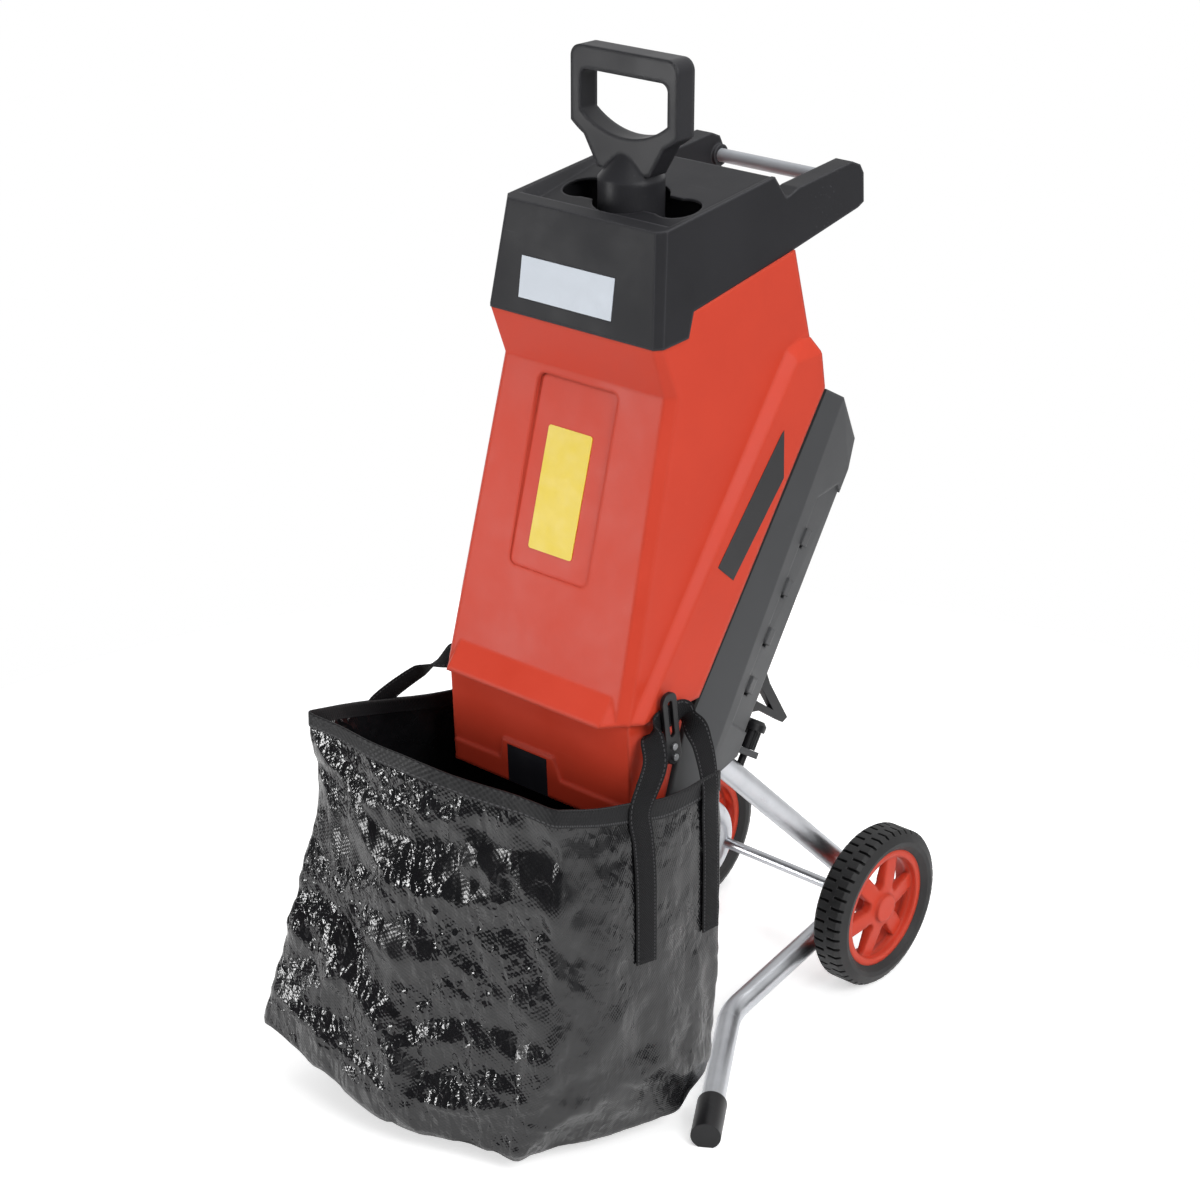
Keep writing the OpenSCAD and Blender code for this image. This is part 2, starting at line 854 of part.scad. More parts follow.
module leg_path() {
    d1 = edge_dir(leg_top, leg_apex);
    d2 = edge_dir(leg_apex, foot_bend);
    d3 = edge_dir(foot_bend, foot_end);
    cut1 = axle_bend_r * tan(acos(d1 * d2) / 2);
    cut2 = foot_bend_r * tan(acos(d2 * d3) / 2);
    tube(leg_top, leg_apex - (cut1 - bend_overlap) * d1, tube_r, tube_wall);
    tube_bend(leg_top, leg_apex, foot_bend, axle_bend_r, tube_r, tube_wall);
    tube(leg_apex + (cut1 - bend_overlap) * d2, foot_bend - (cut2 - bend_overlap) * d2, tube_r, tube_wall);
    tube_bend(leg_apex, foot_bend, foot_end, foot_bend_r, tube_r, tube_wall);
    tube(foot_bend + (cut2 - bend_overlap) * d3, foot_end, tube_r, tube_wall);
}

module leg_tube() {
    difference() {
        leg_path();
        translate([0, 0, wheel_r]) rotate([0, 90, 0]) cylinder(h = 200, r = axle_r + running_gap);
        knob_hole();
    }
}

module leg_tube_right() {
    place() color(zinc) leg_tube();
}

module leg_tube_left() {
    place() color(zinc) mirror([1, 0, 0]) leg_tube();
}

module foot_cap() {
    difference() {
        bar(foot_end - (cap_len - cap_over) * foot_tip, foot_end + cap_over * foot_tip, cap_r);
        bar(foot_end - cap_len * foot_tip, foot_end, tube_r + running_gap);
        translate([0, -500, -20]) cube([400, 500, 20]);
    }
}

module foot_cap_right() {
    place() color(black) foot_cap();
}

module foot_cap_left() {
    place() color(black) mirror([1, 0, 0]) foot_cap();
}

wheel_out = 151;
wheel_in = wheel_out - wheel_width;
wheel_mid = (wheel_in + wheel_out) / 2;
hub_r = 67;
axle_end = wheel_out - 12;
spacer_in = leg_x + tube_r + bend_swell + running_gap;

module axle() {
    place() color(zinc) translate([-axle_end, 0, wheel_r]) rotate([0, 90, 0])
        cylinder(h = 2 * axle_end, r = axle_r);
}

module wheel_spacers() {
    place() color(zinc) both_sides() translate([spacer_in, 0, wheel_r]) rotate([0, 90, 0]) difference() {
        cylinder(h = wheel_in - slide_gap - spacer_in, r = axle_r + 4);
        translate([0, 0, -1]) cylinder(h = 30, r = axle_r + running_gap);
    }
}

module wheel_frame() {
    translate([wheel_mid, 0, wheel_r]) rotate([0, 90, 0]) children();
}

tyre_half = wheel_width / 2;
seat_r = hub_r + running_gap;
tyre_profile = [[seat_r, -tyre_half + 7], [hub_r + 6, -tyre_half + 1], [wheel_r - 12, -tyre_half],
    [wheel_r - 3, -tyre_half + 4], [wheel_r, -tyre_half + 8], [wheel_r, tyre_half - 8],
    [wheel_r - 3, tyre_half - 4], [wheel_r - 12, tyre_half], [hub_r + 6, tyre_half - 1],
    [seat_r, tyre_half - 7]];
tread_blocks = 48;
tread_groove = 3.2;
rib_half = 2;

module tyre() {
    wheel_frame() difference() {
        rotate_extrude() polygon(tyre_profile);
        for (i = [0:tread_blocks - 1], side = [-1, 1])
            rotate([0, 0, (i + side / 4) * 360 / tread_blocks])
                translate([wheel_r - tread_depth, -tread_groove / 2, side > 0 ? rib_half : -tyre_half - 1])
                    cube([20, tread_groove, tyre_half + 1 - rib_half]);
    }
}

module tyre_right() {
    place() color(black) tyre();
}

module tyre_left() {
    place() color(black) mirror([1, 0, 0]) tyre();
}

spokes = 6;
spoke_width = 19;
spoke_turn = 39;
boss_r = 16;
window_in = 30;
window_r = 6.5;
window_out = hub_r - 10;
lip_at = tyre_half - 7;

// Half width of a hub window at distance x from the axle.
function window_half(x) = x * tan(180 / spokes) - spoke_width / 2 / cos(180 / spokes);

// Window between two spokes, round at its inner end.
module hub_window() {
    intersection() {
        union() {
            linear_extrude(height = wheel_width)
                polygon([for (p = [[window_in, -1], [hub_r, -1], [hub_r, 1], [window_in, 1]])
                    [p[0], p[1] * window_half(p[0])]]);
            translate([window_in, 0, 0]) cylinder(h = wheel_width, r = window_r);
        }
        cylinder(h = wheel_width, r = window_out);
    }
}

// Hub: rim with a lip, dished face with six windows, and a boss closed over the axle's end.
module wheel_hub() {
    wheel_frame() difference() {
        union() {
            difference() {
                translate([0, 0, -lip_at]) cylinder(h = 2 * lip_at, r = hub_r);
                translate([0, 0, -tyre_half]) cylinder(h = wheel_width, r = hub_r - 8);
            }
            difference() {
                rotate_extrude() polygon([[0, 0], [hub_r - 7, 0], [hub_r - 7, lip_at - 7],
                    [boss_r, lip_at - 1], [0, lip_at - 1]]);
                for (i = [0:spokes - 1]) rotate([0, 0, (i + 0.5) * 360 / spokes + spoke_turn])
                    translate([0, 0, -tyre_half]) hub_window();
            }
            translate([0, 0, -tyre_half]) cylinder(h = tyre_half + lip_at + 3, r = boss_r);
        }
        translate([0, 0, -tyre_half - 1]) cylinder(h = axle_end - wheel_in + 2, r = axle_r + running_gap);
    }
}

module wheel_hub_right() {
    place() color(red) wheel_hub();
}

module wheel_hub_left() {
    place() color(red) mirror([1, 0, 0]) wheel_hub();
}

// Leg clamp knobs: a screw through the cover's lug into the leg tube.

knob_out = 28;
stud_r = 4;

module knob_frame() {
    rear_frame() translate([leg_x, knob_out, 0]) children();
}

module knob_hole() {
    knob_frame() translate([0, 0, -22]) cylinder(h = 40, r = stud_r + running_gap);
}

module leg_knob() {
    knob_frame() {
        translate([0, 0, -14]) cylinder(h = 30, r = stud_r);
        difference() {
            translate([0, 0, 11.3]) cylinder(h = 20, r = knob_diameter / 2 - 3);
            for (i = [0:7]) rotate([0, 0, i * 45]) translate([knob_diameter / 2 - 2, 0, 10])
                cylinder(h = 22, r = 2);
        }
        translate([0, 0, 31]) cylinder(h = 7, r = knob_diameter / 2);
        translate([0, 0, 38]) cylinder(h = 4, r1 = knob_diameter / 2, r2 = knob_diameter / 2 - 4);
    }
}

module leg_knob_right() {
    place() color(black) leg_knob();
}

module leg_knob_left() {
    place() color(black) mirror([1, 0, 0]) leg_knob();
}

// Pusher: grip, neck, and a paddle that fills the slot.

paddle_low = -205;

grip_top = 186;
grip_side = 114;
grip_arc_z = 192;
grip_arc_r = 102;
eye_half = grip_width / 2 - 12;

// Front outline of the D grip: straight top and sides over a round foot.
module grip_outline() {
    translate([0, (grip_top + grip_side) / 2]) rounded_box(grip_width, grip_top - grip_side, 12);
    intersection() {
        translate([0, grip_arc_z]) circle(grip_arc_r);
        translate([-grip_width / 2, grip_side - 40]) square([grip_width, 60]);
    }
    polygon([[-50, 104], [-neck_diameter / 2, 74], [neck_diameter / 2, 74], [50, 104]]);
}

module grip_eye() {
    translate([0, 144]) rounded_box(2 * eye_half, 40, 8);
    intersection() {
        translate([0, grip_arc_z]) circle(grip_arc_r - 16);
        translate([-eye_half, 100]) square([2 * eye_half, 40]);
    }
}

module pusher() {
    place() color(charcoal) feed_frame() {
        rotate([90, 0, 0]) linear_extrude(height = grip_thickness, center = true) difference() {
            grip_outline();
            grip_eye();
        }
        translate([0, 0, -4]) cylinder(h = 72, r = neck_diameter / 2);
        translate([0, 0, 68]) cylinder(h = 24, r1 = neck_diameter / 2, r2 = grip_thickness / 2);
        translate([0, 0, paddle_low]) linear_extrude(height = -paddle_low - 4) {
            square([130, 10], center = true);
            square([10, 62], center = true);
        }
        translate([0, 0, -10]) linear_extrude(height = 6) slot_outline(2.5);
        translate([0, 0, paddle_low]) linear_extrude(height = 6) slot_outline(2.5);
    }
}

// Catch bag: rim and foot points of its cloth, as [x, y, z].

bag_left = foot_end[0] + cap_over * foot_tip[0] - cap_r * foot_tip[1];
bag_rim = [[1 - bag_left, -511, 398], [-60, -516, 397], [108, -494, 392], [163, -400, 388], [165, -312, 386],
    [-145, -330, 386], [-178, -415, 394]];
bag_foot = [[-bag_left, -bag_front, 78], [-46, -bag_front + 8, 25], [92, -538, 18], [140, -430, 14],
    [170, -372, 22], [162, -325, 50], [-160, -325, 50], [-206, -430, 30], [-150, -540, 14], [172, -318, 170],
    [150, -470, 170], [-206, -400, 180]];
bag_centre = [-20, -420];
hem_height = 22;
rim_front_z = 400;
rim_slope = 3.1;

// Cloth outline moved inwards by t.
module bag_form(t) {
    hull() {
        for (p = bag_rim) bag_corner(p, t, 0.5 * sign(t));
        for (p = bag_foot) bag_corner(p, t, t);
    }
}

module bag_corner(p, t, lift) {
    away = [p[0] - bag_centre[0], p[1] - bag_centre[1]];
    q = bag_centre + away * (1 - t / norm(away));
    translate([q[0], q[1], p[2] + lift]) cube(0.02, center = true);
}

// Space above a plane that lies the given depth under the rim.
module above_rim(depth) {
    translate([-400, -516, rim_front_z - depth]) rotate([-rim_slope, 0, 0]) translate([0, -300, 0])
        cube([800, 800, 300]);
}

// Notch in the rear edge where the cloth hangs under the motor cover.
module rear_notch() {
    translate([-127, -353, 331]) cube([254, 200, 200]);
}

module bag_body() {
    place() color(black) difference() {
        bag_form(0);
        bag_form(bag_cloth);
        above_rim(hem_height);
        rear_notch();
    }
}

module bag_hem() {
    place() color(black) difference() {
        intersection() {
            bag_form(-1);
            above_rim(hem_height);
        }
        bag_form(bag_cloth);
        rear_notch();
    }
}

strap_thick = 2;
strap_width = 24;
hook_foot_x = max(band_low_half - 2, chute_half + 7.5);
pad_depth = hook_foot_x - chute_half + wall / 2;
hook_step = 7;
seat_gap = 0.2;
hook_gap_x = hook_foot_x + hook_step - strap_thick / 2 - seat_gap;

// Strap stations: [x, y, z, lean of the width direction from level, turn of it in plan].
strap_path_right = [[159.5, -421, 215, 0, -8], [159.5, -410, 384, 0, -30], [hook_gap_x, -385, 441, 70, 0],
    [hook_gap_x, -330, 446, -70, 0], [166, -336, 384, 0, 0], [169.5, -340, 230, 0, -8]];
strap_path_left = [[-203, -436, 240, 0, -20], [-184, -425, 390, 0, -21], [-hook_gap_x, -385, 441, 70, 0],
    [-hook_gap_x, -330, 446, -70, 0], [-153, -345, 384, 0, -21], [-170, -351, 250, 0, -35]];

module strap_station(p) {
    translate([p[0], p[1], p[2]]) rotate([p[3], 0, p[4]]) cube([strap_thick, strap_width, 1], center = true);
}

// Strap along its stations, lying on the outside of the bag.
module strap(path) {
    difference() {
        for (i = [0:len(path) - 2]) hull() {
            strap_station(path[i]);
            strap_station(path[i + 1]);
        }
        bag_form(-1 - seat_gap);
    }
}

module strap_right() {
    place() color(black) strap(strap_path_right);
}

module strap_left() {
    place() color(black) strap(strap_path_left);
}

// Bag hooks: a foot screwed to the side band and a prong that stands off above it.

hook_at = [-352, 400];
hook_lean = 8;

module hook_frame() {
    translate([hook_foot_x, hook_at[0], hook_at[1]]) rotate([hook_lean, 0, 0]) rotate([90, 0, 90]) children();
}

module bag_hook() {
    hook_frame() difference() {
        union() {
            linear_extrude(height = hook_step) translate([0, 13]) rounded_box(20, 26, 6);
            translate([0, 0, hook_step]) linear_extrude(height = 4) difference() {
                translate([0, 39]) rounded_box(20, 78, 9);
                translate([0, 50]) rounded_box(7, 40, 3);
            }
        }
        hook_drill();
    }
}

module hook_drill() {
    for (z = [7, 19]) translate([0, z, -8]) cylinder(h = 30, r = screw_r + running_gap);
}

module hook_holes() {
    both_sides() hook_frame() hook_drill();
}

module bag_hook_right() {
    place() color(black) bag_hook();
}

module bag_hook_left() {
    place() color(black) mirror([1, 0, 0]) bag_hook();
}

module hook_screws() {
    place() color(steel) both_sides() hook_frame() for (z = [7, 19]) translate([0, z, 0]) {
        translate([0, 0, -7]) cylinder(h = hook_step + 12, r = screw_r);
        translate([0, 0, hook_step + 4]) cylinder(h = 2, r = 3.5);
    }
}

front_housing();
hopper_top();
rear_cover();
housing_seal();
feed_duct();
counter_blade();
carry_bar();
leg_tube_left();
leg_tube_right();
foot_cap_left();
foot_cap_right();
axle();
wheel_spacers();
tyre_left();
tyre_right();
wheel_hub_left();
wheel_hub_right();
leg_knob_left();
leg_knob_right();
bag_body();
bag_hem();
strap_left();
strap_right();
bag_hook_left();
bag_hook_right();
hook_screws();
pusher();
motor_plate();
stator();
rotor_core();
commutator();
motor_shaft();
bearing_front();
bearing_rear();
rear_bracket();
cooling_fan();
brush_holders();
blade_disc();
blades();
blade_screws();
disc_nut();
switch_box();
start_button();
stop_button();
reset_button();
power_inlet();
inlet_pins();
cord_hook();
safety_switch();
housing_screws();
name_plate();
panel_plate();
side_plates();
chute_plate();
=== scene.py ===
# %% [markdown]
# # Garden shredder: looks built around the imported solids
# The imported model holds every rigid piece at its true place, in metres. This lesson loads it as a
# fixed frame, lights it like a plain studio shot, gives each finish its own shader nodes, and models
# the soft pieces, the catch bag and its straps, as cloth instead of plain solids.

# %% Load the frame
import math

import bpy
from mathutils import Matrix, Vector, noise


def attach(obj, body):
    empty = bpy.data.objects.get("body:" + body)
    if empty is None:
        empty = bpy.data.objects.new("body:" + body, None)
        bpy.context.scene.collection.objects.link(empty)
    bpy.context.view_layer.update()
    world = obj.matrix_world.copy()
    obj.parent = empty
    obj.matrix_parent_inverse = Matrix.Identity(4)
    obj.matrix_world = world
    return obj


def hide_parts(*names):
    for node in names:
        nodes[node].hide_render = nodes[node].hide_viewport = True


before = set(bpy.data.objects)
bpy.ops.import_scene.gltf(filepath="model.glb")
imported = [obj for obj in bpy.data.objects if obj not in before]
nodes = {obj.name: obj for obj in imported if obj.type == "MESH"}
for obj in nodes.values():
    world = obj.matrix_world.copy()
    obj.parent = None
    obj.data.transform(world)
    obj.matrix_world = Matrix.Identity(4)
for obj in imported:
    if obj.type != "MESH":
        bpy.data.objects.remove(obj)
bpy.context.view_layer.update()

# %% [markdown]
# ## Camera
# The view is three-quarter, from the front right and above. The place, turn and lens were solved from
# straight edges of the object in the picture, so the lens is long and nothing is shifted.

# %% Camera
LENS_MM = 79.7
SENSOR_MM = 36
CAMERA_PLACE = (1.60079, -1.85109, 1.56579)
CAMERA_TILT = math.radians(66.452)
CAMERA_TURN = math.radians(41.712)


def linked_object(name, data):
    """New object with this data, placed in the scene."""
    obj = bpy.data.objects.new(name, data)
    bpy.context.scene.collection.objects.link(obj)
    return obj


camera_data = bpy.data.cameras.new("studio_camera")
camera_data.lens = LENS_MM
camera_data.sensor_width = SENSOR_MM
camera = linked_object("studio_camera", camera_data)
camera.location = CAMERA_PLACE
camera.rotation_euler = (CAMERA_TILT, 0, CAMERA_TURN)
bpy.context.scene.camera = camera
bpy.context.scene.view_settings.view_transform = "Standard"
print("camera lens", camera_data.lens, "mm")

# %% [markdown]
# ## Floor, world and lamps
# A catalogue shot stands on white. The floor is a round pale sheet, and the world is a soft white dome that
# shines at a plain level on the object. Rays that go straight to the camera see clean white. Rays that come
# off something shiny see the dome as a studio is: bright behind the object, dark on the front left and low on
# the right. Those dark sides are what gives gloss its contrast, on the bag above all.

# %% World
AMBIENT_LEVEL = 0.46
GLOSS_LEVEL = 0.8
DARK_LEVEL = 0.06
# Each dark side: the way there, then how nearly gloss looks that way where the dark starts and where it is
# full, as cosines.
dark_sides = [((-0.45, -0.87, 0.2), 0.1, 0.65), ((0.94, 0.3, -0.1), 0.78, 0.95)]


def node_tree(owner):
    owner.use_nodes = True
    owner.node_tree.nodes.clear()
    return owner.node_tree


def feed(tree, value, socket):
    """Link another node's output to a socket, or set the socket to a plain value."""
    if isinstance(value, bpy.types.NodeSocket):
        tree.links.new(value, socket)
    else:
        socket.default_value = value


def math_node(tree, operation, *values):
    node = tree.nodes.new("ShaderNodeMath")
    node.operation = operation
    for value, socket in zip(values, node.inputs):
        feed(tree, value, socket)
    return node.outputs[0]


def ramp(tree, value, low, high, at_low=0.0, at_high=1.0):
    """The value carried from the range low to high onto the range at_low to at_high."""
    node = tree.nodes.new("ShaderNodeMapRange")
    node.inputs["From Min"].default_value = low
    node.inputs["From Max"].default_value = high
    tree.links.new(value, node.inputs["Value"])
    feed(tree, at_low, node.inputs["To Min"])
    feed(tree, at_high, node.inputs["To Max"])
    return node.outputs[0]


world = bpy.data.worlds.new("white_dome")
bpy.context.scene.world = world
tree = node_tree(world)
light_path = tree.nodes.new("ShaderNodeLightPath").outputs
direction = tree.nodes.new("ShaderNodeTexCoord").outputs["Generated"]
in_gloss = GLOSS_LEVEL
for way, starts, full in dark_sides:
    towards = tree.nodes.new("ShaderNodeVectorMath")
    towards.operation = "DOT_PRODUCT"
    towards.inputs[1].default_value = Vector(way).normalized()
    tree.links.new(direction, towards.inputs[0])
    shade = ramp(tree, towards.outputs["Value"], starts, full, GLOSS_LEVEL, DARK_LEVEL)
    in_gloss = math_node(tree, "MINIMUM", in_gloss, shade)
lit = ramp(tree, light_path["Is Glossy Ray"], 0, 1, AMBIENT_LEVEL, in_gloss)
plain_sight = math_node(tree, "MAXIMUM", light_path["Is Camera Ray"], light_path["Is Transmission Ray"])
dome = tree.nodes.new("ShaderNodeBackground")
dome.inputs["Color"].default_value = (1, 1, 1, 1)
tree.links.new(ramp(tree, plain_sight, 0, 1, lit, 1.0), dome.inputs["Strength"])
world_out = tree.nodes.new("ShaderNodeOutputWorld")
tree.links.new(dome.outputs[0], world_out.inputs["Surface"])
print("dome at", AMBIENT_LEVEL, "with", len(dark_sides), "dark sides at", DARK_LEVEL)

# %% Floor
# The sheet is round and reaches a little past the object, as on a studio table: beyond its edge the camera
# sees the white dome, and gloss finds the dome's dark side. A little glow, seen by the camera, in gloss and
# through clear things only, lifts the lit floor to white and leaves the shadow.
FLOOR_RADIUS = 1.2
FLOOR_SIDES = 96
FLOOR_GREY = 0.93
FLOOR_ROUGHNESS = 0.9
FLOOR_GLOW = 0.52


def surface_material(name):
    material = bpy.data.materials.new(name)
    tree = node_tree(material)
    shader = tree.nodes.new("ShaderNodeBsdfPrincipled")
    out = tree.nodes.new("ShaderNodeOutputMaterial")
    tree.links.new(shader.outputs[0], out.inputs["Surface"])
    return material, tree, shader


floor_mesh = bpy.data.meshes.new("floor")
turns = [2 * math.pi * i / FLOOR_SIDES for i in range(FLOOR_SIDES)]
floor_rim = [(FLOOR_RADIUS * math.cos(turn), FLOOR_RADIUS * math.sin(turn), 0) for turn in turns]
floor_mesh.from_pydata(floor_rim, [], [tuple(range(FLOOR_SIDES))])
floor = linked_object("floor", floor_mesh)
floor_material, tree, floor_shader = surface_material("pale_floor")
floor_shader.inputs["Base Color"].default_value = (FLOOR_GREY, FLOOR_GREY, FLOOR_GREY, 1)
floor_shader.inputs["Roughness"].default_value = FLOOR_ROUGHNESS
floor_shader.inputs["Emission Color"].default_value = (1, 1, 1, 1)
light_path = tree.nodes.new("ShaderNodeLightPath").outputs
seen = math_node(tree, "MAXIMUM", light_path["Is Camera Ray"], light_path["Is Glossy Ray"])
seen = math_node(tree, "MAXIMUM", seen, light_path["Is Transmission Ray"])
tree.links.new(math_node(tree, "MULTIPLY", seen, FLOOR_GLOW), floor_shader.inputs["Emission Strength"])
floor_mesh.materials.append(floor_material)
print("floor", 2 * FLOOR_RADIUS, "m wide")

# %% Lamps
# A tall narrow lamp low on the front left draws the glints on the bag; the large ones fill and model.


def soft_lamp(name, place, aim, size, watts):
    data = bpy.data.lights.new(name, "AREA")
    data.shape = "RECTANGLE"
    data.size, data.size_y = size
    data.energy = watts
    lamp = linked_object(name, data)
    lamp.location = place
    lamp.rotation_euler = (Vector(aim) - Vector(place)).to_track_quat("-Z", "Y").to_euler()


soft_lamp("side_lamp", (3.0, -0.6, 2.6), (0, 0, 0.5), (2.0, 2.0), 76)
soft_lamp("strip_lamp", (-1.9, -2.6, 0.66), (0, 0, 0.4), (0.42, 1.2), 40)
soft_lamp("top_lamp", (0.2, 0.4, 3.6), (0, 0, 0.6), (1.8, 1.8), 38)

# %% [markdown]
# ## Shared shader groups
# Several finishes share the same small effects, so each effect is built once as a node group. Solids
# from CAD have razor edges, which no moulded or bent part has: the first group asks Cycles for a
# rounded normal near every edge and also gives a mask of the edges, where plastic is painted paler, partly
# as rubbed wear and partly as a painted highlight.
# The second is the fine spark-eroded grain of a mould with the slow blotches of handling. The third
# is a sparse set of fine scratches.

# %% Group helpers


def new_group(name, inputs, outputs):
    """Shader group with number inputs at these values and outputs of these kinds, and its two end nodes."""
    group = bpy.data.node_groups.new(name, "ShaderNodeTree")
    for socket_name, value in inputs.items():
        socket = group.interface.new_socket(socket_name, in_out="INPUT", socket_type="NodeSocketFloat")
        socket.default_value = value
    for socket_name, kind in outputs.items():
        group.interface.new_socket(socket_name, in_out="OUTPUT", socket_type=kind)
    return group, group.nodes.new("NodeGroupInput"), group.nodes.new("NodeGroupOutput")


def noise_node(tree, coordinate, scale, detail=2.0, roughness=0.5):
    node = tree.nodes.new("ShaderNodeTexNoise")
    node.inputs["Detail"].default_value = detail
    node.inputs["Roughness"].default_value = roughness
    tree.links.new(coordinate, node.inputs["Vector"])
    feed(tree, scale, node.inputs["Scale"])
    return node.outputs["Fac"]


# %% Rounded edges
VALUE, NORMAL = "NodeSocketFloat", "NodeSocketVector"
BEVEL_SAMPLES = 6
# How far the rounded normal agrees with the flat one where the edge mask starts and where it is full.
EDGE_STARTS = 0.995
EDGE_FULL = 0.8
edges_group, g_in, g_out = new_group("rounded_edges", {"Radius": 0.002}, {"Normal": NORMAL, "Edge": VALUE})
bevel = edges_group.nodes.new("ShaderNodeBevel")
bevel.samples = BEVEL_SAMPLES
edges_group.links.new(g_in.outputs["Radius"], bevel.inputs["Radius"])
surface = edges_group.nodes.new("ShaderNodeNewGeometry")
facing = edges_group.nodes.new("ShaderNodeVectorMath")
facing.operation = "DOT_PRODUCT"
edges_group.links.new(bevel.outputs["Normal"], facing.inputs[0])
edges_group.links.new(surface.outputs["Normal"], facing.inputs[1])
edge_mask = ramp(edges_group, facing.outputs["Value"], EDGE_STARTS, EDGE_FULL)
edges_group.links.new(bevel.outputs["Normal"], g_out.inputs["Normal"])
edges_group.links.new(edge_mask, g_out.inputs["Edge"])
print("group", edges_group.name)

# %% Moulded grain
BLOTCH_STARTS = 0.3
BLOTCH_FULL = 0.7
grain_group, g_in, g_out = new_group("moulded_grain", {"Grain per m": 900.0, "Blotch per m": 14.0},
                                     {"Height": VALUE, "Blotch": VALUE})
place = grain_group.nodes.new("ShaderNodeTexCoord").outputs["Object"]
grain_height = noise_node(grain_group, place, g_in.outputs["Grain per m"], detail=1.0)
blotch = noise_node(grain_group, place, g_in.outputs["Blotch per m"], detail=4.0, roughness=0.6)
grain_group.links.new(grain_height, g_out.inputs["Height"])
grain_group.links.new(ramp(grain_group, blotch, BLOTCH_STARTS, BLOTCH_FULL), g_out.inputs["Blotch"])
print("group", grain_group.name)

# %% Fine scratches
# Noise drawn out along one direction gives hair lines, here in three directions; a second, slow noise leaves
# most places without any.
STREAK_TILTS = (0.35, -0.8, 1.9)
SIDE_TILT = 0.6
STREAK_SCALE = (9.0, 330.0, 330.0)
STREAK_STARTS = 0.78
STREAK_FULL = 0.84
SCRATCHED_STARTS = 0.56
SCRATCHED_FULL = 0.64
scratch_group, g_in, g_out = new_group("fine_scratches", {"Patch per m": 9.0}, {"Mask": VALUE})
tree = scratch_group
place = tree.nodes.new("ShaderNodeTexCoord").outputs["Object"]
streaks = 0.0
for tilt in STREAK_TILTS:
    turned = tree.nodes.new("ShaderNodeMapping")
    turned.inputs["Rotation"].default_value = (tilt, tilt * SIDE_TILT, tilt)
    turned.inputs["Scale"].default_value = STREAK_SCALE
    tree.links.new(place, turned.inputs["Vector"])
    streak = noise_node(tree, turned.outputs[0], 1.0, detail=0.0)
    streaks = math_node(tree, "MAXIMUM", streaks, ramp(tree, streak, STREAK_STARTS, STREAK_FULL))
patchy = noise_node(tree, place, g_in.outputs["Patch per m"])
scratched_place = ramp(tree, patchy, SCRATCHED_STARTS, SCRATCHED_FULL)
tree.links.new(math_node(tree, "MULTIPLY", streaks, scratched_place), g_out.inputs["Mask"])
print("group", scratch_group.name)

# %% [markdown]
# ## Rigid finishes
# The housing and wheel hubs are satin red plastic, the hopper and pusher a charcoal grain, the motor
# cover a middle grey. All of them, and the small black and coloured parts, are one recipe with other values:
# a base colour that drifts a little, paler edges that are partly rubbed wear and partly a painted highlight,
# grain as a bump, and scratches that show as rougher, lighter lines.

# %% Moulded plastic recipe


def colour(r, g, b):
    """Linear colour from the 0 to 255 values that a picture shows."""
    def linear(v):
        v = v / 255
        return v / 12.92 if v <= 0.04045 else ((v + 0.055) / 1.055) ** 2.4
    return (linear(r), linear(g), linear(b), 1)


def use_group(tree, group, **values):
    node = tree.nodes.new("ShaderNodeGroup")
    node.node_tree = group
    for socket_name, value in values.items():
        node.inputs[socket_name.replace("_", " ")].default_value = value
    return node


def mix_colour(tree, factor, first, second):
    node = tree.nodes.new("ShaderNodeMix")
    node.data_type = "RGBA"
    tree.links.new(factor, node.inputs["Factor"])
    feed(tree, first, node.inputs["A"])
    feed(tree, second, node.inputs["B"])
    return node.outputs["Result"]


def bump(tree, height, distance, strength, normal=None):
    node = tree.nodes.new("ShaderNodeBump")
    node.inputs["Distance"].default_value = distance
    node.inputs["Strength"].default_value = strength
    tree.links.new(height, node.inputs["Height"])
    if normal is not None:
        tree.links.new(normal, node.inputs["Normal"])
    return node.outputs["Normal"]


def uneven_roughness(tree, blotch, roughness, spread):
    """Roughness that wanders by the spread from blotch to blotch, from the given value up."""
    return math_node(tree, "MULTIPLY_ADD", blotch, spread, roughness)


GRAIN_DEPTH = 0.00012
GRAIN_STRENGTH = 0.6
PLASTIC_SPREAD = 0.12
MARK_ROUGHNESS = 0.15


def moulded_plastic(name, base, drift, rubbed_and_highlight, roughness, edge_radius,
                    scratched=0.2, edge_wear_and_highlight=0.3, gloss=0.3):
    material, tree, shader = surface_material(name)
    grain_node = use_group(tree, grain_group)
    edges = use_group(tree, edges_group, Radius=edge_radius)
    scratches = use_group(tree, scratch_group)
    blotch = grain_node.outputs["Blotch"]
    drifting = mix_colour(tree, blotch, base, drift)
    # Edges are painted paler: partly rubbed wear, partly a painted highlight along every edge.
    paler_edges = math_node(tree, "MULTIPLY", edges.outputs["Edge"], edge_wear_and_highlight)
    scratch_marks = math_node(tree, "MULTIPLY", scratches.outputs["Mask"], scratched)
    marks_and_highlight = math_node(tree, "MAXIMUM", paler_edges, scratch_marks)
    tree.links.new(mix_colour(tree, marks_and_highlight, drifting, rubbed_and_highlight), shader.inputs["Base Color"])
    uneven = uneven_roughness(tree, blotch, roughness - PLASTIC_SPREAD / 2, PLASTIC_SPREAD)
    rubbed_rough = math_node(tree, "MULTIPLY_ADD", marks_and_highlight, MARK_ROUGHNESS, uneven)
    tree.links.new(rubbed_rough, shader.inputs["Roughness"])
    shader.inputs["Specular IOR Level"].default_value = gloss
    grain_normal = bump(tree, grain_node.outputs["Height"], GRAIN_DEPTH, GRAIN_STRENGTH,
                        edges.outputs["Normal"])
    tree.links.new(grain_normal, shader.inputs["Normal"])
    return material
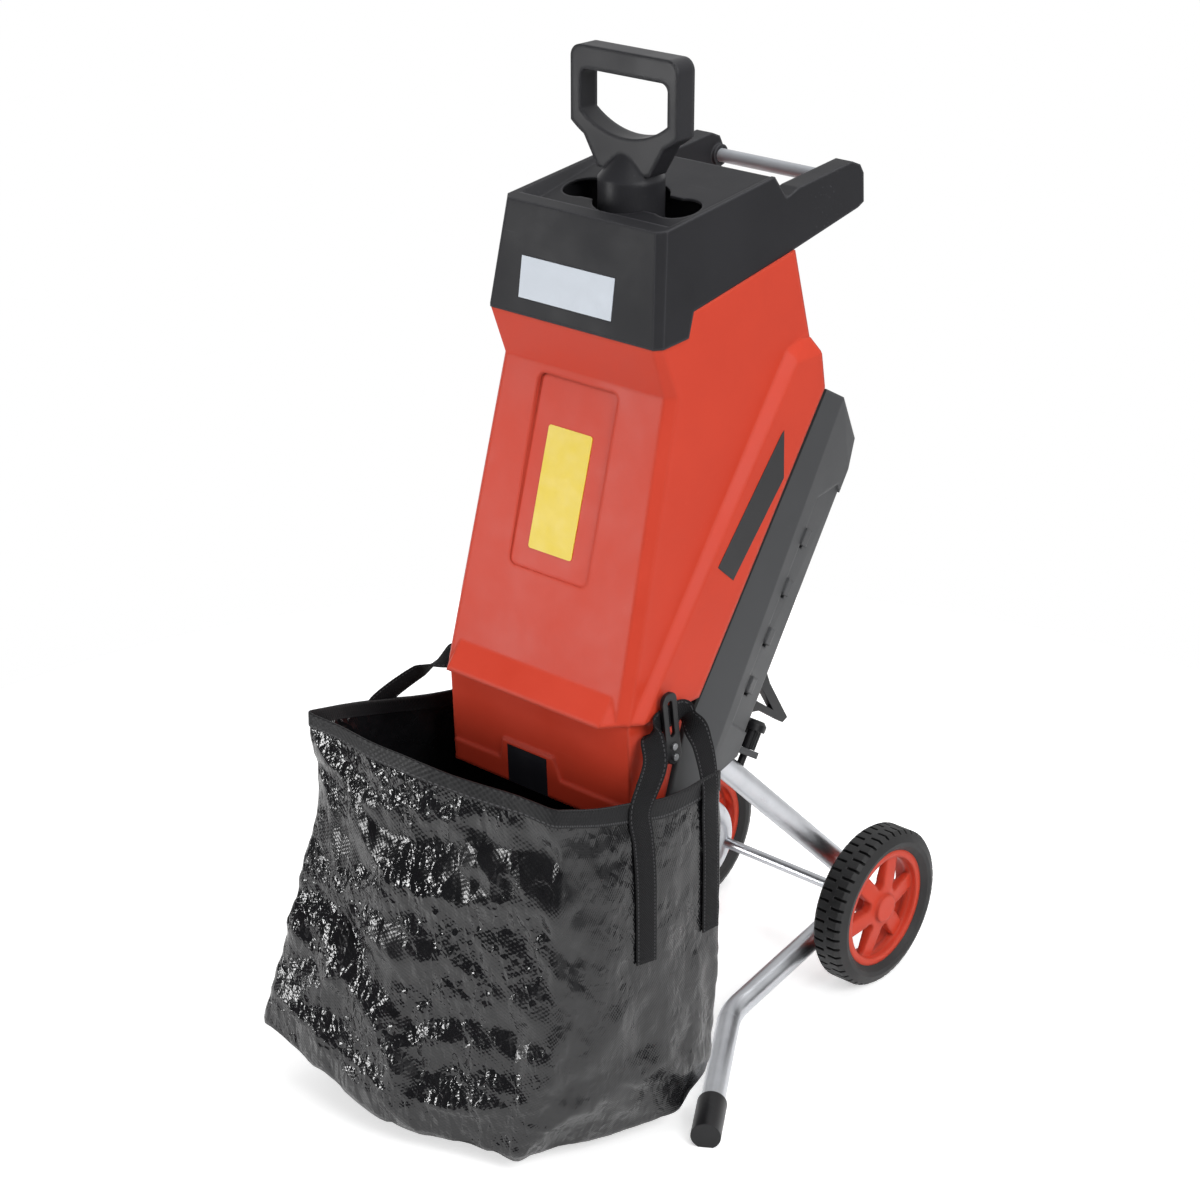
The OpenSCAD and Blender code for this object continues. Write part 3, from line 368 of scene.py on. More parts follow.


# The third colour goes on scratches and on edges, where it is also a painted highlight.
red_shell = moulded_plastic("red_shell", colour(202, 62, 40), colour(207, 66, 44), colour(224, 102, 84),
                            0.44, 0.006, scratched=0.08, edge_wear_and_highlight=0.22, gloss=0.22)
charcoal = moulded_plastic("charcoal", colour(35, 35, 38), colour(41, 41, 44), colour(98, 98, 102),
                           0.5, 0.004, edge_wear_and_highlight=0.5, gloss=0.18)
soft_grip = moulded_plastic("soft_grip", colour(41, 41, 44), colour(46, 46, 49), colour(84, 84, 88),
                            0.42, 0.006, gloss=0.22)
grey_cover = moulded_plastic("grey_cover", colour(62, 63, 65), colour(68, 69, 71), colour(104, 105, 107),
                             0.48, 0.005, gloss=0.25)
black_plastic = moulded_plastic("black_plastic", colour(20, 20, 22), colour(26, 26, 28), colour(64, 64, 66),
                                0.36, 0.0015)
soft_seal = moulded_plastic("soft_seal", colour(12, 12, 12), colour(16, 16, 16), colour(30, 30, 30),
                            0.75, 0.001)
green_button = moulded_plastic("green_button", colour(24, 120, 48), colour(28, 128, 54), colour(80, 160, 96),
                               0.3, 0.001)
red_button = moulded_plastic("red_button", colour(176, 22, 24), colour(184, 28, 28), colour(214, 90, 84),
                             0.3, 0.001)
print("moulded finishes:", len([m for m in bpy.data.materials if m.name != "pale_floor"]))

# %% [markdown]
# ## Metal, rubber and film
# The legs and axle are bright zinc over drawn tube: a metal with faint scratches and cloudy patches. The
# carry bar is a rod under silver paint, so it mirrors less. Blades and motor parts are plainer ground steel.
# The tyres are matt rubber, paler where dust and wear show on the tread's edges, and the bare plates are
# satin film with a slight ripple.

# %% Metals
METAL_GRAIN_DEPTH = 0.00004
METAL_GRAIN_STRENGTH = 0.5
METAL_SPREAD = 0.1
SCRATCH_ROUGHNESS = 0.2


def plated_metal(name, base, cloudy, roughness, edge_radius=0.001, metallic=1.0):
    material, tree, shader = surface_material(name)
    grain_node = use_group(tree, grain_group, Grain_per_m=420.0, Blotch_per_m=30.0)
    edges = use_group(tree, edges_group, Radius=edge_radius)
    scratches = use_group(tree, scratch_group)
    tree.links.new(mix_colour(tree, grain_node.outputs["Blotch"], base, cloudy), shader.inputs["Base Color"])
    shader.inputs["Metallic"].default_value = metallic
    uneven = uneven_roughness(tree, grain_node.outputs["Blotch"], roughness - METAL_SPREAD / 2, METAL_SPREAD)
    scratched = math_node(tree, "MULTIPLY", scratches.outputs["Mask"], SCRATCH_ROUGHNESS)
    tree.links.new(math_node(tree, "ADD", uneven, scratched), shader.inputs["Roughness"])
    grain_normal = bump(tree, grain_node.outputs["Height"], METAL_GRAIN_DEPTH, METAL_GRAIN_STRENGTH,
                        edges.outputs["Normal"])
    tree.links.new(grain_normal, shader.inputs["Normal"])
    return material


zinc_tube = plated_metal("zinc_tube", colour(180, 182, 186), colour(196, 198, 202), 0.32)
silver_paint = plated_metal("silver_paint", colour(166, 169, 174), colour(174, 177, 182), 0.42, metallic=0.25)
tool_steel = plated_metal("tool_steel", colour(160, 162, 166), colour(176, 178, 180), 0.4)
copper = plated_metal("copper", colour(170, 110, 74), colour(184, 122, 84), 0.45)
print("metals:", zinc_tube.name, silver_paint.name, tool_steel.name, copper.name)

# %% Rubber and film
TREAD_EDGE = 0.0015
TREAD_WEAR = 0.5
RUBBER_ROUGHNESS = 0.55
RUBBER_SPREAD = 0.15
RUBBER_GRAIN_DEPTH = 0.0002
RUBBER_GRAIN_STRENGTH = 0.5
FILM_ROUGHNESS = 0.4
FILM_SPREAD = 0.1
RIPPLE_DEPTH = 0.0004
RIPPLE_STRENGTH = 0.15


def tyre_rubber():
    material, tree, shader = surface_material("tyre_rubber")
    grain_node = use_group(tree, grain_group, Grain_per_m=1300.0, Blotch_per_m=40.0)
    edges = use_group(tree, edges_group, Radius=TREAD_EDGE)
    dusty = mix_colour(tree, grain_node.outputs["Blotch"], colour(22, 22, 23), colour(29, 29, 30))
    paler_edges = math_node(tree, "MULTIPLY", edges.outputs["Edge"], TREAD_WEAR)
    tree.links.new(mix_colour(tree, paler_edges, dusty, colour(62, 62, 63)), shader.inputs["Base Color"])
    uneven = uneven_roughness(tree, grain_node.outputs["Blotch"], RUBBER_ROUGHNESS, RUBBER_SPREAD)
    tree.links.new(uneven, shader.inputs["Roughness"])
    grain_normal = bump(tree, grain_node.outputs["Height"], RUBBER_GRAIN_DEPTH, RUBBER_GRAIN_STRENGTH,
                        edges.outputs["Normal"])
    tree.links.new(grain_normal, shader.inputs["Normal"])
    return material


def blank_film(name, base, drift):
    material, tree, shader = surface_material(name)
    grain_node = use_group(tree, grain_group, Grain_per_m=60.0, Blotch_per_m=50.0)
    tree.links.new(mix_colour(tree, grain_node.outputs["Blotch"], base, drift), shader.inputs["Base Color"])
    uneven = uneven_roughness(tree, grain_node.outputs["Blotch"], FILM_ROUGHNESS, FILM_SPREAD)
    tree.links.new(uneven, shader.inputs["Roughness"])
    ripple = bump(tree, grain_node.outputs["Height"], RIPPLE_DEPTH, RIPPLE_STRENGTH)
    tree.links.new(ripple, shader.inputs["Normal"])
    return material


tyre = tyre_rubber()
white_film = blank_film("white_film", colour(194, 202, 212), colour(200, 207, 216))
yellow_film = blank_film("yellow_film", colour(227, 199, 34), colour(233, 205, 44))
dark_film = blank_film("dark_film", colour(34, 34, 36), colour(40, 40, 42))
black_film = blank_film("black_film", colour(26, 26, 32), colour(32, 32, 38))
print("films:", white_film.name, yellow_film.name, dark_film.name, black_film.name)

# %% Give every rigid node its finish
finishes = {
    red_shell: ["front_housing", "wheel_hub_left", "wheel_hub_right"],
    charcoal: ["hopper_top", "feed_duct", "cooling_fan", "reset_button"],
    soft_grip: ["pusher"],
    grey_cover: ["rear_cover"],
    black_plastic: ["bag_hook_left", "bag_hook_right", "leg_knob_left", "leg_knob_right", "foot_cap_left",
                    "foot_cap_right", "switch_box", "power_inlet", "cord_hook", "safety_switch",
                    "brush_holders"],
    soft_seal: ["housing_seal"],
    tyre: ["tyre_left", "tyre_right"],
    silver_paint: ["carry_bar"],
    zinc_tube: ["leg_tube_left", "leg_tube_right", "axle", "wheel_spacers", "inlet_pins", "disc_nut"],
    tool_steel: ["counter_blade", "blade_disc", "blades", "blade_screws", "motor_plate", "motor_shaft",
                 "bearing_front", "bearing_rear", "rear_bracket", "stator", "housing_screws", "hook_screws"],
    copper: ["rotor_core", "commutator"],
    white_film: ["name_plate"],
    yellow_film: ["panel_plate"],
    dark_film: ["side_plates"],
    black_film: ["chute_plate"],
    green_button: ["start_button"],
    red_button: ["stop_button"],
}
for material, names in finishes.items():
    for node_name in names:
        nodes[node_name].data.materials.clear()
        nodes[node_name].data.materials.append(material)
print("finished nodes:", sum(len(names) for names in finishes.values()))

# %% [markdown]
# ## The catch bag
# The bag is woven plastic cloth: light, stiff and crinkled, hung by two straps so that its rim gapes and its
# foot sags to the front left. A loft makes it: eleven columns of points run from rim to foot round the bag.
# Curves along the columns and straight panels between them give a close grid, and creases are pressed into
# that grid.

# %% Bag columns
# Each column is a corner or fold of the cloth, rim first, in millimetres.
bag_columns = {
    "front_left": [(-215, -258, 398), (-201, -262, 345), (-199, -279, 262), (-206, -310, 170),
                   (-215, -340, 78)],
    "front_middle": [(-60, -263, 397), (-64, -278, 330), (-60, -300, 230), (-50, -318, 120), (-46, -333, 27)],
    "front_right": [(108, -241, 392), (114, -244, 320), (120, -251, 220), (116, -264, 110), (92, -283, 20)],
    "side_fold": [(138, -195, 390), (146, -203, 310), (150, -212, 200), (147, -212, 100), (130, -200, 18)],
    "right": [(162, -147, 388), (165, -141, 300), (167, -138, 190), (169, -130, 90), (164, -122, 24)],
    "rear_right": [(164, -61, 386), (167, -62, 300), (170, -66, 180), (167, -69, 90), (161, -73, 50)],
    "notch_right": [(127, -63, 332), (127, -66, 280), (127, -68, 200), (126, -71, 110), (122, -74, 48)],
    "notch_left": [(-127, -76, 332), (-127, -75, 280), (-128, -74, 200), (-130, -73, 110), (-132, -74, 48)],
    "rear_left": [(-145, -78, 386), (-148, -77, 300), (-152, -75, 200), (-156, -74, 110), (-158, -74, 50)],
    "left": [(-178, -162, 394), (-190, -160, 320), (-203, -153, 190), (-205, -166, 100), (-203, -178, 32)],
    "left_fold": [(-197, -212, 396), (-193, -219, 330), (-201, -231, 220), (-208, -254, 120),
                  (-188, -280, 34)],
}
LEVELS_PER_SPAN = 26
PANEL_STEPS = 24
MM = 0.001


def curve_point(points, i, t):
    """Point at share t of the span after point i, on a smooth curve through open points."""
    p1, p2 = points[i], points[i + 1]
    p0 = points[i - 1] if i > 0 else p1 * 2 - p2
    p3 = points[i + 2] if i + 2 < len(points) else p2 * 2 - p1
    return 0.5 * (2 * p1 + (p2 - p0) * t + (2 * p0 - 5 * p1 + 4 * p2 - p3) * t * t
                  + (3 * p1 - p0 - 3 * p2 + p3) * t * t * t)


def along_column(points):
    """Places in metres along one column, from the rim to the foot."""
    points = [Vector(p) * MM for p in points]
    run = [curve_point(points, i, s / LEVELS_PER_SPAN)
           for i in range(len(points) - 1) for s in range(LEVELS_PER_SPAN)]
    return run + [points[-1]]


columns = [along_column(points) for points in bag_columns.values()]
levels = len(columns[0])
around = len(columns) * PANEL_STEPS
print("bag grid:", levels, "levels by", around, "steps")

# %% Bag rings: straight panels with softened corners
CORNER_PASSES = 7


def panel_ring(level):
    """Places round the bag at one level, in straight panels whose corners are then smoothed."""
    corners = [column[level] for column in columns]
    ring = []
    for i, corner in enumerate(corners):
        following = corners[(i + 1) % len(corners)]
        ring += [corner.lerp(following, s / PANEL_STEPS) for s in range(PANEL_STEPS)]
    for _ in range(CORNER_PASSES):
        ring = [(ring[i - 1] + ring[i] * 2 + ring[(i + 1) % len(ring)]) / 4 for i in range(len(ring))]
    return ring


RIM_WAVE = 0.0045
WAVES_PER_M = 13.0
WAVE_REACH = 0.25
# Vector noise starts from the clock unless it is given a seed, and every run has to give the same rim.
WAVE_SEED = 3
noise.seed_set(WAVE_SEED)


def wavy(ring, level):
    """A ring with the rim's gentle wave, which fades out on the way down."""
    fade = max(0.0, 1 - level / (levels * WAVE_REACH))
    return [p + noise.noise_vector(p * WAVES_PER_M) * RIM_WAVE * fade for p in ring]


rings = [wavy(panel_ring(i), i) for i in range(levels)]
foot_centre = sum(rings[-1], Vector()) / around
FOOT_RINGS = 16
FOOT_SAG = 0.012
for i in range(1, FOOT_RINGS):
    share = i / FOOT_RINGS
    sag = Vector((0, 0, -FOOT_SAG * math.sin(share * math.pi / 2)))
    rings.append([p.lerp(foot_centre + sag, share) for p in rings[levels - 1]])
print("rings with the floor panel:", len(rings))

# %% [markdown]
# ### Folds and creases
# Crumpled film folds along straight sharp lines between nearly flat facets, not in soft waves. The long
# folds and the seam are drawn one by one as lines on the cloth, each a tent with a sharp crest. Cell noise
# makes the rest: every cell of space rises or falls from its own borders by its own number, so that the cloth
# is a set of flat facets that meet in creases.

# %% Long folds
# Each fold: its height and half width in millimetres, then points as columns round and share of the way down.
long_folds = [
    (3.0, 10, [(0.0, 0.12), (0.26, 0.35), (0.36, 0.53), (0.51, 0.66)]),
    (6.0, 26, [(0.0, 0.1), (0.38, 0.22), (0.67, 0.34), (0.96, 0.39), (1.4, 0.38), (1.6, 0.37), (1.95, 0.34)]),
    (-6.0, 24, [(0.7, 0.3), (1.12, 0.28), (1.47, 0.21), (1.82, 0.19), (2.0, 0.17)]),
    (6.0, 22, [(0.59, 0.5), (0.8, 0.56), (1.07, 0.58), (1.3, 0.55)]),
    (5.0, 20, [(0.57, 0.5), (0.87, 0.43), (1.04, 0.35)]),
    (7.0, 28, [(0.11, 0.92), (0.6, 0.7), (0.78, 0.73), (1.06, 0.8), (1.14, 0.9)]),
    (-5.0, 22, [(1.3, 0.56), (1.14, 0.71), (1.45, 0.66), (1.95, 0.66)]),
    (9.0, 34, [(0.25, 0.9), (0.8, 0.95), (1.3, 0.92), (1.8, 0.86)]),
    (-4.0, 18, [(0.1, 0.62), (0.42, 0.58), (0.7, 0.62)]),
    (2.0, 5, [(2.0, 0.03), (2.0, 0.35), (2.0, 0.68)]),
    (6.0, 22, [(2.0, 0.66), (2.12, 0.74), (1.75, 0.95)]),
    (5.0, 24, [(2.48, 0.71), (3.2, 0.58), (3.7, 0.44)]),
    (6.0, 26, [(2.0, 0.98), (2.58, 0.83), (3.75, 0.74), (4.87, 0.86)]),
    (-4.0, 20, [(3.38, 0.45), (3.48, 0.73)]),
    (4.0, 18, [(4.55, 0.46), (4.6, 0.61), (4.5, 0.71)]),
    (3.0, 16, [(2.16, 0.17), (3.4, 0.12)]),
    (5.0, 26, [(6.2, 0.3), (7.0, 0.5), (7.9, 0.42)]),
    (-5.0, 26, [(6.1, 0.75), (7.2, 0.68), (8.0, 0.8)]),
    (5.0, 24, [(8.2, 0.25), (8.9, 0.4), (9.8, 0.35), (10.7, 0.5)]),
    (-5.0, 24, [(8.4, 0.7), (9.3, 0.62), (10.4, 0.78)]),
]


def cloth_place(round_share, down_share):
    """Place on the smooth cloth, this many columns round and this share of the way down."""
    ring = rings[round(down_share * (levels - 1))]
    return ring[round(round_share * PANEL_STEPS) % around]


fold_spans = []
for height, half_width, points in long_folds:
    spots = [cloth_place(*point) for point in points]
    fold_spans += [(height * MM, half_width * MM, a, b) for a, b in zip(spots, spots[1:])]


def distance_to_span(place, start, end):
    """Distance from a place to the straight span between two others."""
    span = end - start
    share = min(1.0, max(0.0, (place - start).dot(span) / span.length_squared))
    return (place - start - span * share).length


def fold_height(place):
    """Height of the long folds at a place: the highest ridge and the deepest furrow there."""
    ridge, furrow = 0.0, 0.0
    for height, half_width, start, end in fold_spans:
        near = 1 - distance_to_span(place, start, end) / half_width
        if near > 0:
            ridge = max(ridge, near * height)
            furrow = min(furrow, near * height)
    return ridge + furrow


print("folds:", len(long_folds), "in", len(fold_spans), "straight spans")

# %% Facets
# Each set of facets: their long direction, their length and width in metres, the steepest slope, and a start.
facet_sets = [
    ((1.0, 1.0, 0.15), 0.17, 0.1, 0.06, (0.31, 0.17, 0.05)),
    ((0.55, 0.35, -0.75), 0.09, 0.034, 0.46, (0.73, 0.41, 0.29)),
    ((-0.25, 0.1, -1.0), 0.07, 0.028, 0.34, (0.13, 0.91, 0.59)),
    ((0.3, 0.2, 1.0), 0.024, 0.015, 0.24, (0.47, 0.67, 0.83)),
]
SIDE_WAY = Vector((0.9, 0, 0.4))
# Carries neighbouring cells far apart, so that each draws a number of its own.
CELL_SPREAD = 57.3


def cell_axes(long_way, length, width):
    """Axes that turn a place into cells of this length and width."""
    along = Vector(long_way).normalized()
    across = along.cross(SIDE_WAY).normalized()
    return Matrix((along / length, across / width, along.cross(across) / width))


facet_cells = [(cell_axes(way, length, width), width * slope, Vector(start))
               for way, length, width, slope, start in facet_sets]


def facet_height(place, axes, rise, start):
    """Height of flat facets that rise or fall from the borders of their cell, so that they always meet."""
    spot = axes @ (place + start)
    own, *others = noise.voronoi(spot)[1]
    border = min(((own + other) / 2 - spot).dot((other - own).normalized()) for other in others)
    return border * rise * noise.cell(own * CELL_SPREAD)


def crease_depth(place):
    """How far the folds and all sets of facets push the cloth out at a place."""
    return fold_height(place) + sum(facet_height(place, *cells) for cells in facet_cells)


print("facet sets:", len(facet_cells))

# %% Press folds and facets into the grid


def ring_normal(ring_index, i):
    """Outward direction of the smooth cloth at one point of a ring."""
    ring = rings[ring_index]
    across = ring[(i + 1) % around] - ring[i - 1]
    upper = rings[max(ring_index - 1, 0)][i]
    lower = rings[min(ring_index + 1, len(rings) - 1)][i]
    return across.cross(upper - lower).normalized()


# Under the sewn ends of the straps the cloth lies flat; each line runs up the middle of one sewn end.
sewn_lines = [[Vector(p) * MM for p in line] for line in (
    [(159, -168, 205), (160, -158, 392)], [(171, -87, 220), (167, -82, 392)],
    [(-203, -183, 230), (-184, -172, 394)], [(-171, -98, 240), (-153, -92, 392)])]
SEWN_REACH = 0.028
SEWN_FLAT_SHARE = 0.45
SEWN_LEAST = 0.1


def sewn_freedom(place):
    """From nearly 0 under a sewn strap to 1 where the cloth is free."""
    nearest = min(distance_to_span(place, start, end) for start, end in sewn_lines)
    beyond = max(0.0, min(nearest / SEWN_REACH, 1.0) - SEWN_FLAT_SHARE)
    return SEWN_LEAST + (1 - SEWN_LEAST) * beyond / (1 - SEWN_FLAT_SHARE)


# The sewn rim holds the cloth: creases are held back at it and are free this far below it, and they grow a
# little deeper on the way down, but not round the foot.
RIM_LEAST = 0.12
RIM_HOLDS = 0.05
SLACK = 0.8
SLACK_GAIN = 0.4
FOOT_STARTS = 0.9
# The right panel hangs straighter than the rest, so its creases are shallower.
CALM_FROM = 0.105
CALM_OVER = 0.035
CALM_SHARE = 0.4


def cloth_freedom(ring_index, i):
    """How much of its creases the cloth shows at one point of a ring."""
    place = rings[ring_index][i]
    below_rim = (rings[0][i] - place).length
    slack = SLACK
    if ring_index < levels * FOOT_STARTS:
        slack += SLACK_GAIN * ring_index / levels
    calm = CALM_SHARE * min(1.0, max(0.0, (place.x - CALM_FROM) / CALM_OVER))
    return slack * (1 - calm) * min(1.0, RIM_LEAST + below_rim / RIM_HOLDS) * sewn_freedom(place)


creased = [[place + ring_normal(r, i) * crease_depth(place) * cloth_freedom(r, i)
            for i, place in enumerate(ring)] for r, ring in enumerate(rings)]
print("creased points:", sum(len(row) for row in creased))

# %% Bag mesh with its cloth coordinates


def grid_object(name, rows, closed_foot):
    """Mesh over rows of points that close round; cloth coordinates are in metres."""
    count = len(rows[0])
    points = [p for row in rows for p in row]
    faces = []
    for r in range(len(rows) - 1):
        for i in range(count):
            j = (i + 1) % count
            faces.append((r * count + i, (r + 1) * count + i, (r + 1) * count + j, r * count + j))
    if closed_foot:
        points.append(sum(rows[-1], Vector()) / count)
        last = (len(rows) - 1) * count
        faces += [(last + i, len(points) - 1, last + (i + 1) % count) for i in range(count)]
    mesh = bpy.data.meshes.new(name)
    mesh.from_pydata([tuple(p) for p in points], [], faces)
    girth = sum((rows[0][i] - rows[0][i - 1]).length for i in range(count))
    depth = [0.0]
    for r in range(1, len(rows)):
        depth.append(depth[-1] + (rows[r][0] - rows[r - 1][0]).length)
    cloth = mesh.uv_layers.new(name="cloth")
    for face in mesh.polygons:
        steps = [v % count if v < len(rows) * count else 0 for v in face.vertices]
        wraps = max(steps) - min(steps) > count / 2
        for loop, v, step in zip(face.loop_indices, face.vertices, steps):
            turn = step + count if wraps and step < count / 2 else step
            row = min(v // count, len(rows) - 1)
            cloth.data[loop].uv = (girth * turn / count, depth[row])
    mesh.shade_smooth()
    return linked_object(name, mesh)


bag = grid_object("bag_shell", creased, closed_foot=True)

# %% [markdown]
# ### Hem
# The rim is turned over twice and sewn, so it is thicker, stiffer and less shiny than the skin below it.
# A band is built from the same rings: out over the skin, up to the rim, over it and down inside.

# %% Hem band
HEM_HEIGHT = 0.013
HEM_STAND = 0.0012
# The band's sections, as shares of its stand off the skin, and the rise of its crest over the rim.
INNER_SHARE = -1.3
CREST_SHARES = (0.6, -0.7)
CREST_RISE = 0.0016
START_STAND = 0.0002
hem_levels = [i for i in range(levels) if (rings[0][0] - rings[i][0]).length <= HEM_HEIGHT]


def hem_row(level, stand):
    """Places round the rim at one level, off the skin by the given stand."""
    return [creased[level][i] + ring_normal(level, i) * stand for i in range(around)]


def raised(row, height):
    return [p + Vector((0, 0, height)) for p in row]


outer = [hem_row(i, HEM_STAND) for i in reversed(hem_levels)]
inner = [hem_row(i, HEM_STAND * INNER_SHARE) for i in hem_levels]
crest = [raised(hem_row(0, HEM_STAND * share), CREST_RISE) for share in CREST_SHARES]
start = [hem_row(hem_levels[-1], START_STAND)]
hem = grid_object("bag_hem_band", [*start, *outer, *crest, *inner], closed_foot=False)
hem.data.flip_normals()
print("hem rows:", len(start) + len(outer) + len(crest) + len(inner))

# %% [markdown]
# ### Straps
# Two loops of webbing hang the bag: each is sewn flat to the side of the bag, runs up to its hook, passes
# behind the prong and comes down again to a second sewn end. A ribbon follows stations, each with a place
# and the direction of the tape's width.

# %% Strap ribbons
TAPE_WIDTH = 0.024
TAPE_THICK = 0.0016
TAPE_STEPS = 10
# The tape's section, as shares of its width and its thickness.
tape_section = [(-0.5, 0), (-0.47, 0.5), (0, 0.5), (0.47, 0.5),
                (0.5, 0), (0.47, -0.5), (0, -0.5), (-0.47, -0.5)]


def tape(name, stations):
    """Ribbon along a smooth curve through stations, each a place in millimetres and the way of its width."""
    places = [Vector(place) * MM for place, _ in stations]
    widths = [Vector(width).normalized() for _, width in stations]
    line, wide = [], []
    for i in range(len(stations) - 1):
        for s in range(TAPE_STEPS):
            t = s / TAPE_STEPS
            line.append(curve_point(places, i, t))
            wide.append(widths[i].lerp(widths[i + 1], t).normalized())
    line.append(places[-1])
    wide.append(widths[-1])
    points, faces, lengths = [], [], [0.0]
    for i, place in enumerate(line):
        along = line[min(i + 1, len(line) - 1)] - line[max(i - 1, 0)]
        flat = along.cross(wide[i]).normalized()
        across = flat.cross(along).normalized()
        points += [place + across * (a * TAPE_WIDTH) + flat * (b * TAPE_THICK) for a, b in tape_section]
        if i:
            lengths.append(lengths[-1] + (place - line[i - 1]).length)
    side = len(tape_section)
    for i in range(len(line) - 1):
        for k in range(side):
            m = (k + 1) % side
            faces.append((i * side + k, i * side + m, (i + 1) * side + m, (i + 1) * side + k))
    faces.append(tuple(range(side - 1, -1, -1)))
    faces.append(tuple(range((len(line) - 1) * side, len(line) * side)))
    mesh = bpy.data.meshes.new(name)
    mesh.from_pydata([tuple(p) for p in points], [], faces)
    cloth = mesh.uv_layers.new(name="cloth")
    for face in mesh.polygons:
        for loop, v in zip(face.loop_indices, face.vertices):
            cloth.data[loop].uv = (tape_section[v % side][0] * TAPE_WIDTH, lengths[v // side])
    mesh.shade_smooth()
    print(name, round(lengths[-1], 3), "m of tape")
    return linked_object(name, mesh)


SEWN_STAND = 0.0022
WIDTH_STEPS = 3


def sewn_end(round_share, down_shares):
    """Stations of a strap end that lies on the creased cloth, with the tape's width along the cloth."""
    i = round(round_share * PANEL_STEPS)
    stations = []
    for down in down_shares:
        level = round(down * (levels - 1))
        place = creased[level][i] + ring_normal(level, i) * SEWN_STAND
        width = creased[level][i + WIDTH_STEPS] - creased[level][i - WIDTH_STEPS]
        stations.append((place / MM, width if width.y > 0 else -width))
    return stations


HOOK_X = 131.3


def over_hook(side):
    """Stations of a strap behind its hook's prong: side is 1 on the right and -1 on the left."""
    x = side * HOOK_X
    return [((x, -127, 443), (0, 0.55, 0.84)), ((x, -100, 450), (0, 0, 1)), ((x, -78, 444), (0, -0.4, 0.9))]


strap_right = tape("strap_loop_right", [
    *sewn_end(3.59, (0.44, 0.33, 0.22, 0.12, 0.02)),
    ((148, -143, 418), (0.4, 0.9, 0.3)),
    *over_hook(1),
    ((150, -76, 418), (0, 0.9, 0.43)),
    *sewn_end(4.74, (0.02, 0.12, 0.22, 0.32, 0.41))])
strap_left = tape("strap_loop_left", [
    *sewn_end(9.4, (0.4, 0.3, 0.2, 0.1, 0.01)),
    ((-160, -150, 424), (0.3, 0.9, -0.2)),
    *over_hook(-1),
    ((-142, -84, 418), (0, 0.9, 0.43)),
    *sewn_end(8.27, (0.02, 0.12, 0.22, 0.3, 0.375))])

# %% [markdown]
# ### Cloth finishes
# Woven tarpaulin cloth is flat plastic strips under a clear film: a fine check of strips is pressed into the
# gloss, and small sharp crinkles break every highlight into glints. The hem and the webbing are dull, and
# show rows of stitches.

# %% Weave group


def split_axes(tree, coordinate):
    """Outputs X, Y and Z of a coordinate."""
    split = tree.nodes.new("ShaderNodeSeparateXYZ")
    tree.links.new(coordinate, split.inputs[0])
    return split.outputs


def cloth_axes(tree):
    """Outputs of the cloth's own coordinates: X round the bag or across a tape, Y down it or along it."""
    cloth_uv = tree.nodes.new("ShaderNodeUVMap")
    cloth_uv.uv_map = "cloth"
    return split_axes(tree, cloth_uv.outputs["UV"])


weave_group, g_in, g_out = new_group("strip_weave", {"Strips per m": 520.0}, {"Height": VALUE})
tree = weave_group
cloth = cloth_axes(tree)
waves = []
for axis in ("X", "Y"):
    strips = math_node(tree, "MULTIPLY", cloth[axis], g_in.outputs["Strips per m"])
    waves.append(math_node(tree, "SINE", math_node(tree, "MULTIPLY", strips, math.pi)))
tree.links.new(math_node(tree, "MULTIPLY", waves[0], waves[1]), g_out.inputs["Height"])
print("group", weave_group.name)

# %% Film crinkle group
# The film has the same flat facets on a small scale: the distance to the border of a cell, raised or sunk by
# the cell's own number. The finest come in patches, more of them near the foot, with smooth cloth between.
# The right panel of the bag hangs straighter than the rest, so it keeps less of both.
CRINKLE_TURN = (0.3, 0.5, 0.2)
CRINKLE_STRETCH = (1.0, 1.0, 0.55)
# Patches gain the most up to the first height above the floor, and nothing from the second on.
LOW_CLOTH = 0.08
MIDDLE_CLOTH = 0.3
FOOT_GAIN = 0.1
CRINKLED_STARTS = 0.4
CRINKLED_FULL = 0.56
STRAIGHT_SHARE = 0.5
GLINT_SHARE = 0.6
crinkle_group, g_in, g_out = new_group(
    "film_crinkle", {"Facets per m": 58.0, "Glints per m": 165.0, "Patch per m": 13.0},
    {"Height": VALUE, "Patch": VALUE})
tree = crinkle_group
place = tree.nodes.new("ShaderNodeTexCoord").outputs["Object"]


def small_facets(tree, coordinate, scale):
    """Height of flat facets, so many to the metre, that rise or fall from the borders of their cells."""
    cell, border = (tree.nodes.new("ShaderNodeTexVoronoi") for _ in range(2))
    border.feature = "DISTANCE_TO_EDGE"
    for node in (cell, border):
        tree.links.new(coordinate, node.inputs["Vector"])
        tree.links.new(scale, node.inputs["Scale"])
    number = tree.nodes.new("ShaderNodeSeparateColor")
    tree.links.new(cell.outputs["Color"], number.inputs[0])
    rise = ramp(tree, number.outputs[0], 0.0, 1.0, -1.0, 1.0)
    return math_node(tree, "MULTIPLY", border.outputs["Distance"], rise)


drawn_out = tree.nodes.new("ShaderNodeMapping")
drawn_out.inputs["Rotation"].default_value = CRINKLE_TURN
drawn_out.inputs["Scale"].default_value = CRINKLE_STRETCH
tree.links.new(place, drawn_out.inputs["Vector"])
facets = small_facets(tree, drawn_out.outputs[0], g_in.outputs["Facets per m"])
glints = small_facets(tree, drawn_out.outputs[0], g_in.outputs["Glints per m"])
sides = split_axes(tree, place)
nearer_foot = ramp(tree, sides["Z"], LOW_CLOTH, MIDDLE_CLOTH, FOOT_GAIN, 0.0)
patchy = noise_node(tree, place, g_in.outputs["Patch per m"], detail=2.0)
patch = ramp(tree, math_node(tree, "ADD", patchy, nearer_foot), CRINKLED_STARTS, CRINKLED_FULL)
straighter = ramp(tree, sides["X"], CALM_FROM, CALM_FROM + CALM_OVER, 1.0, STRAIGHT_SHARE)
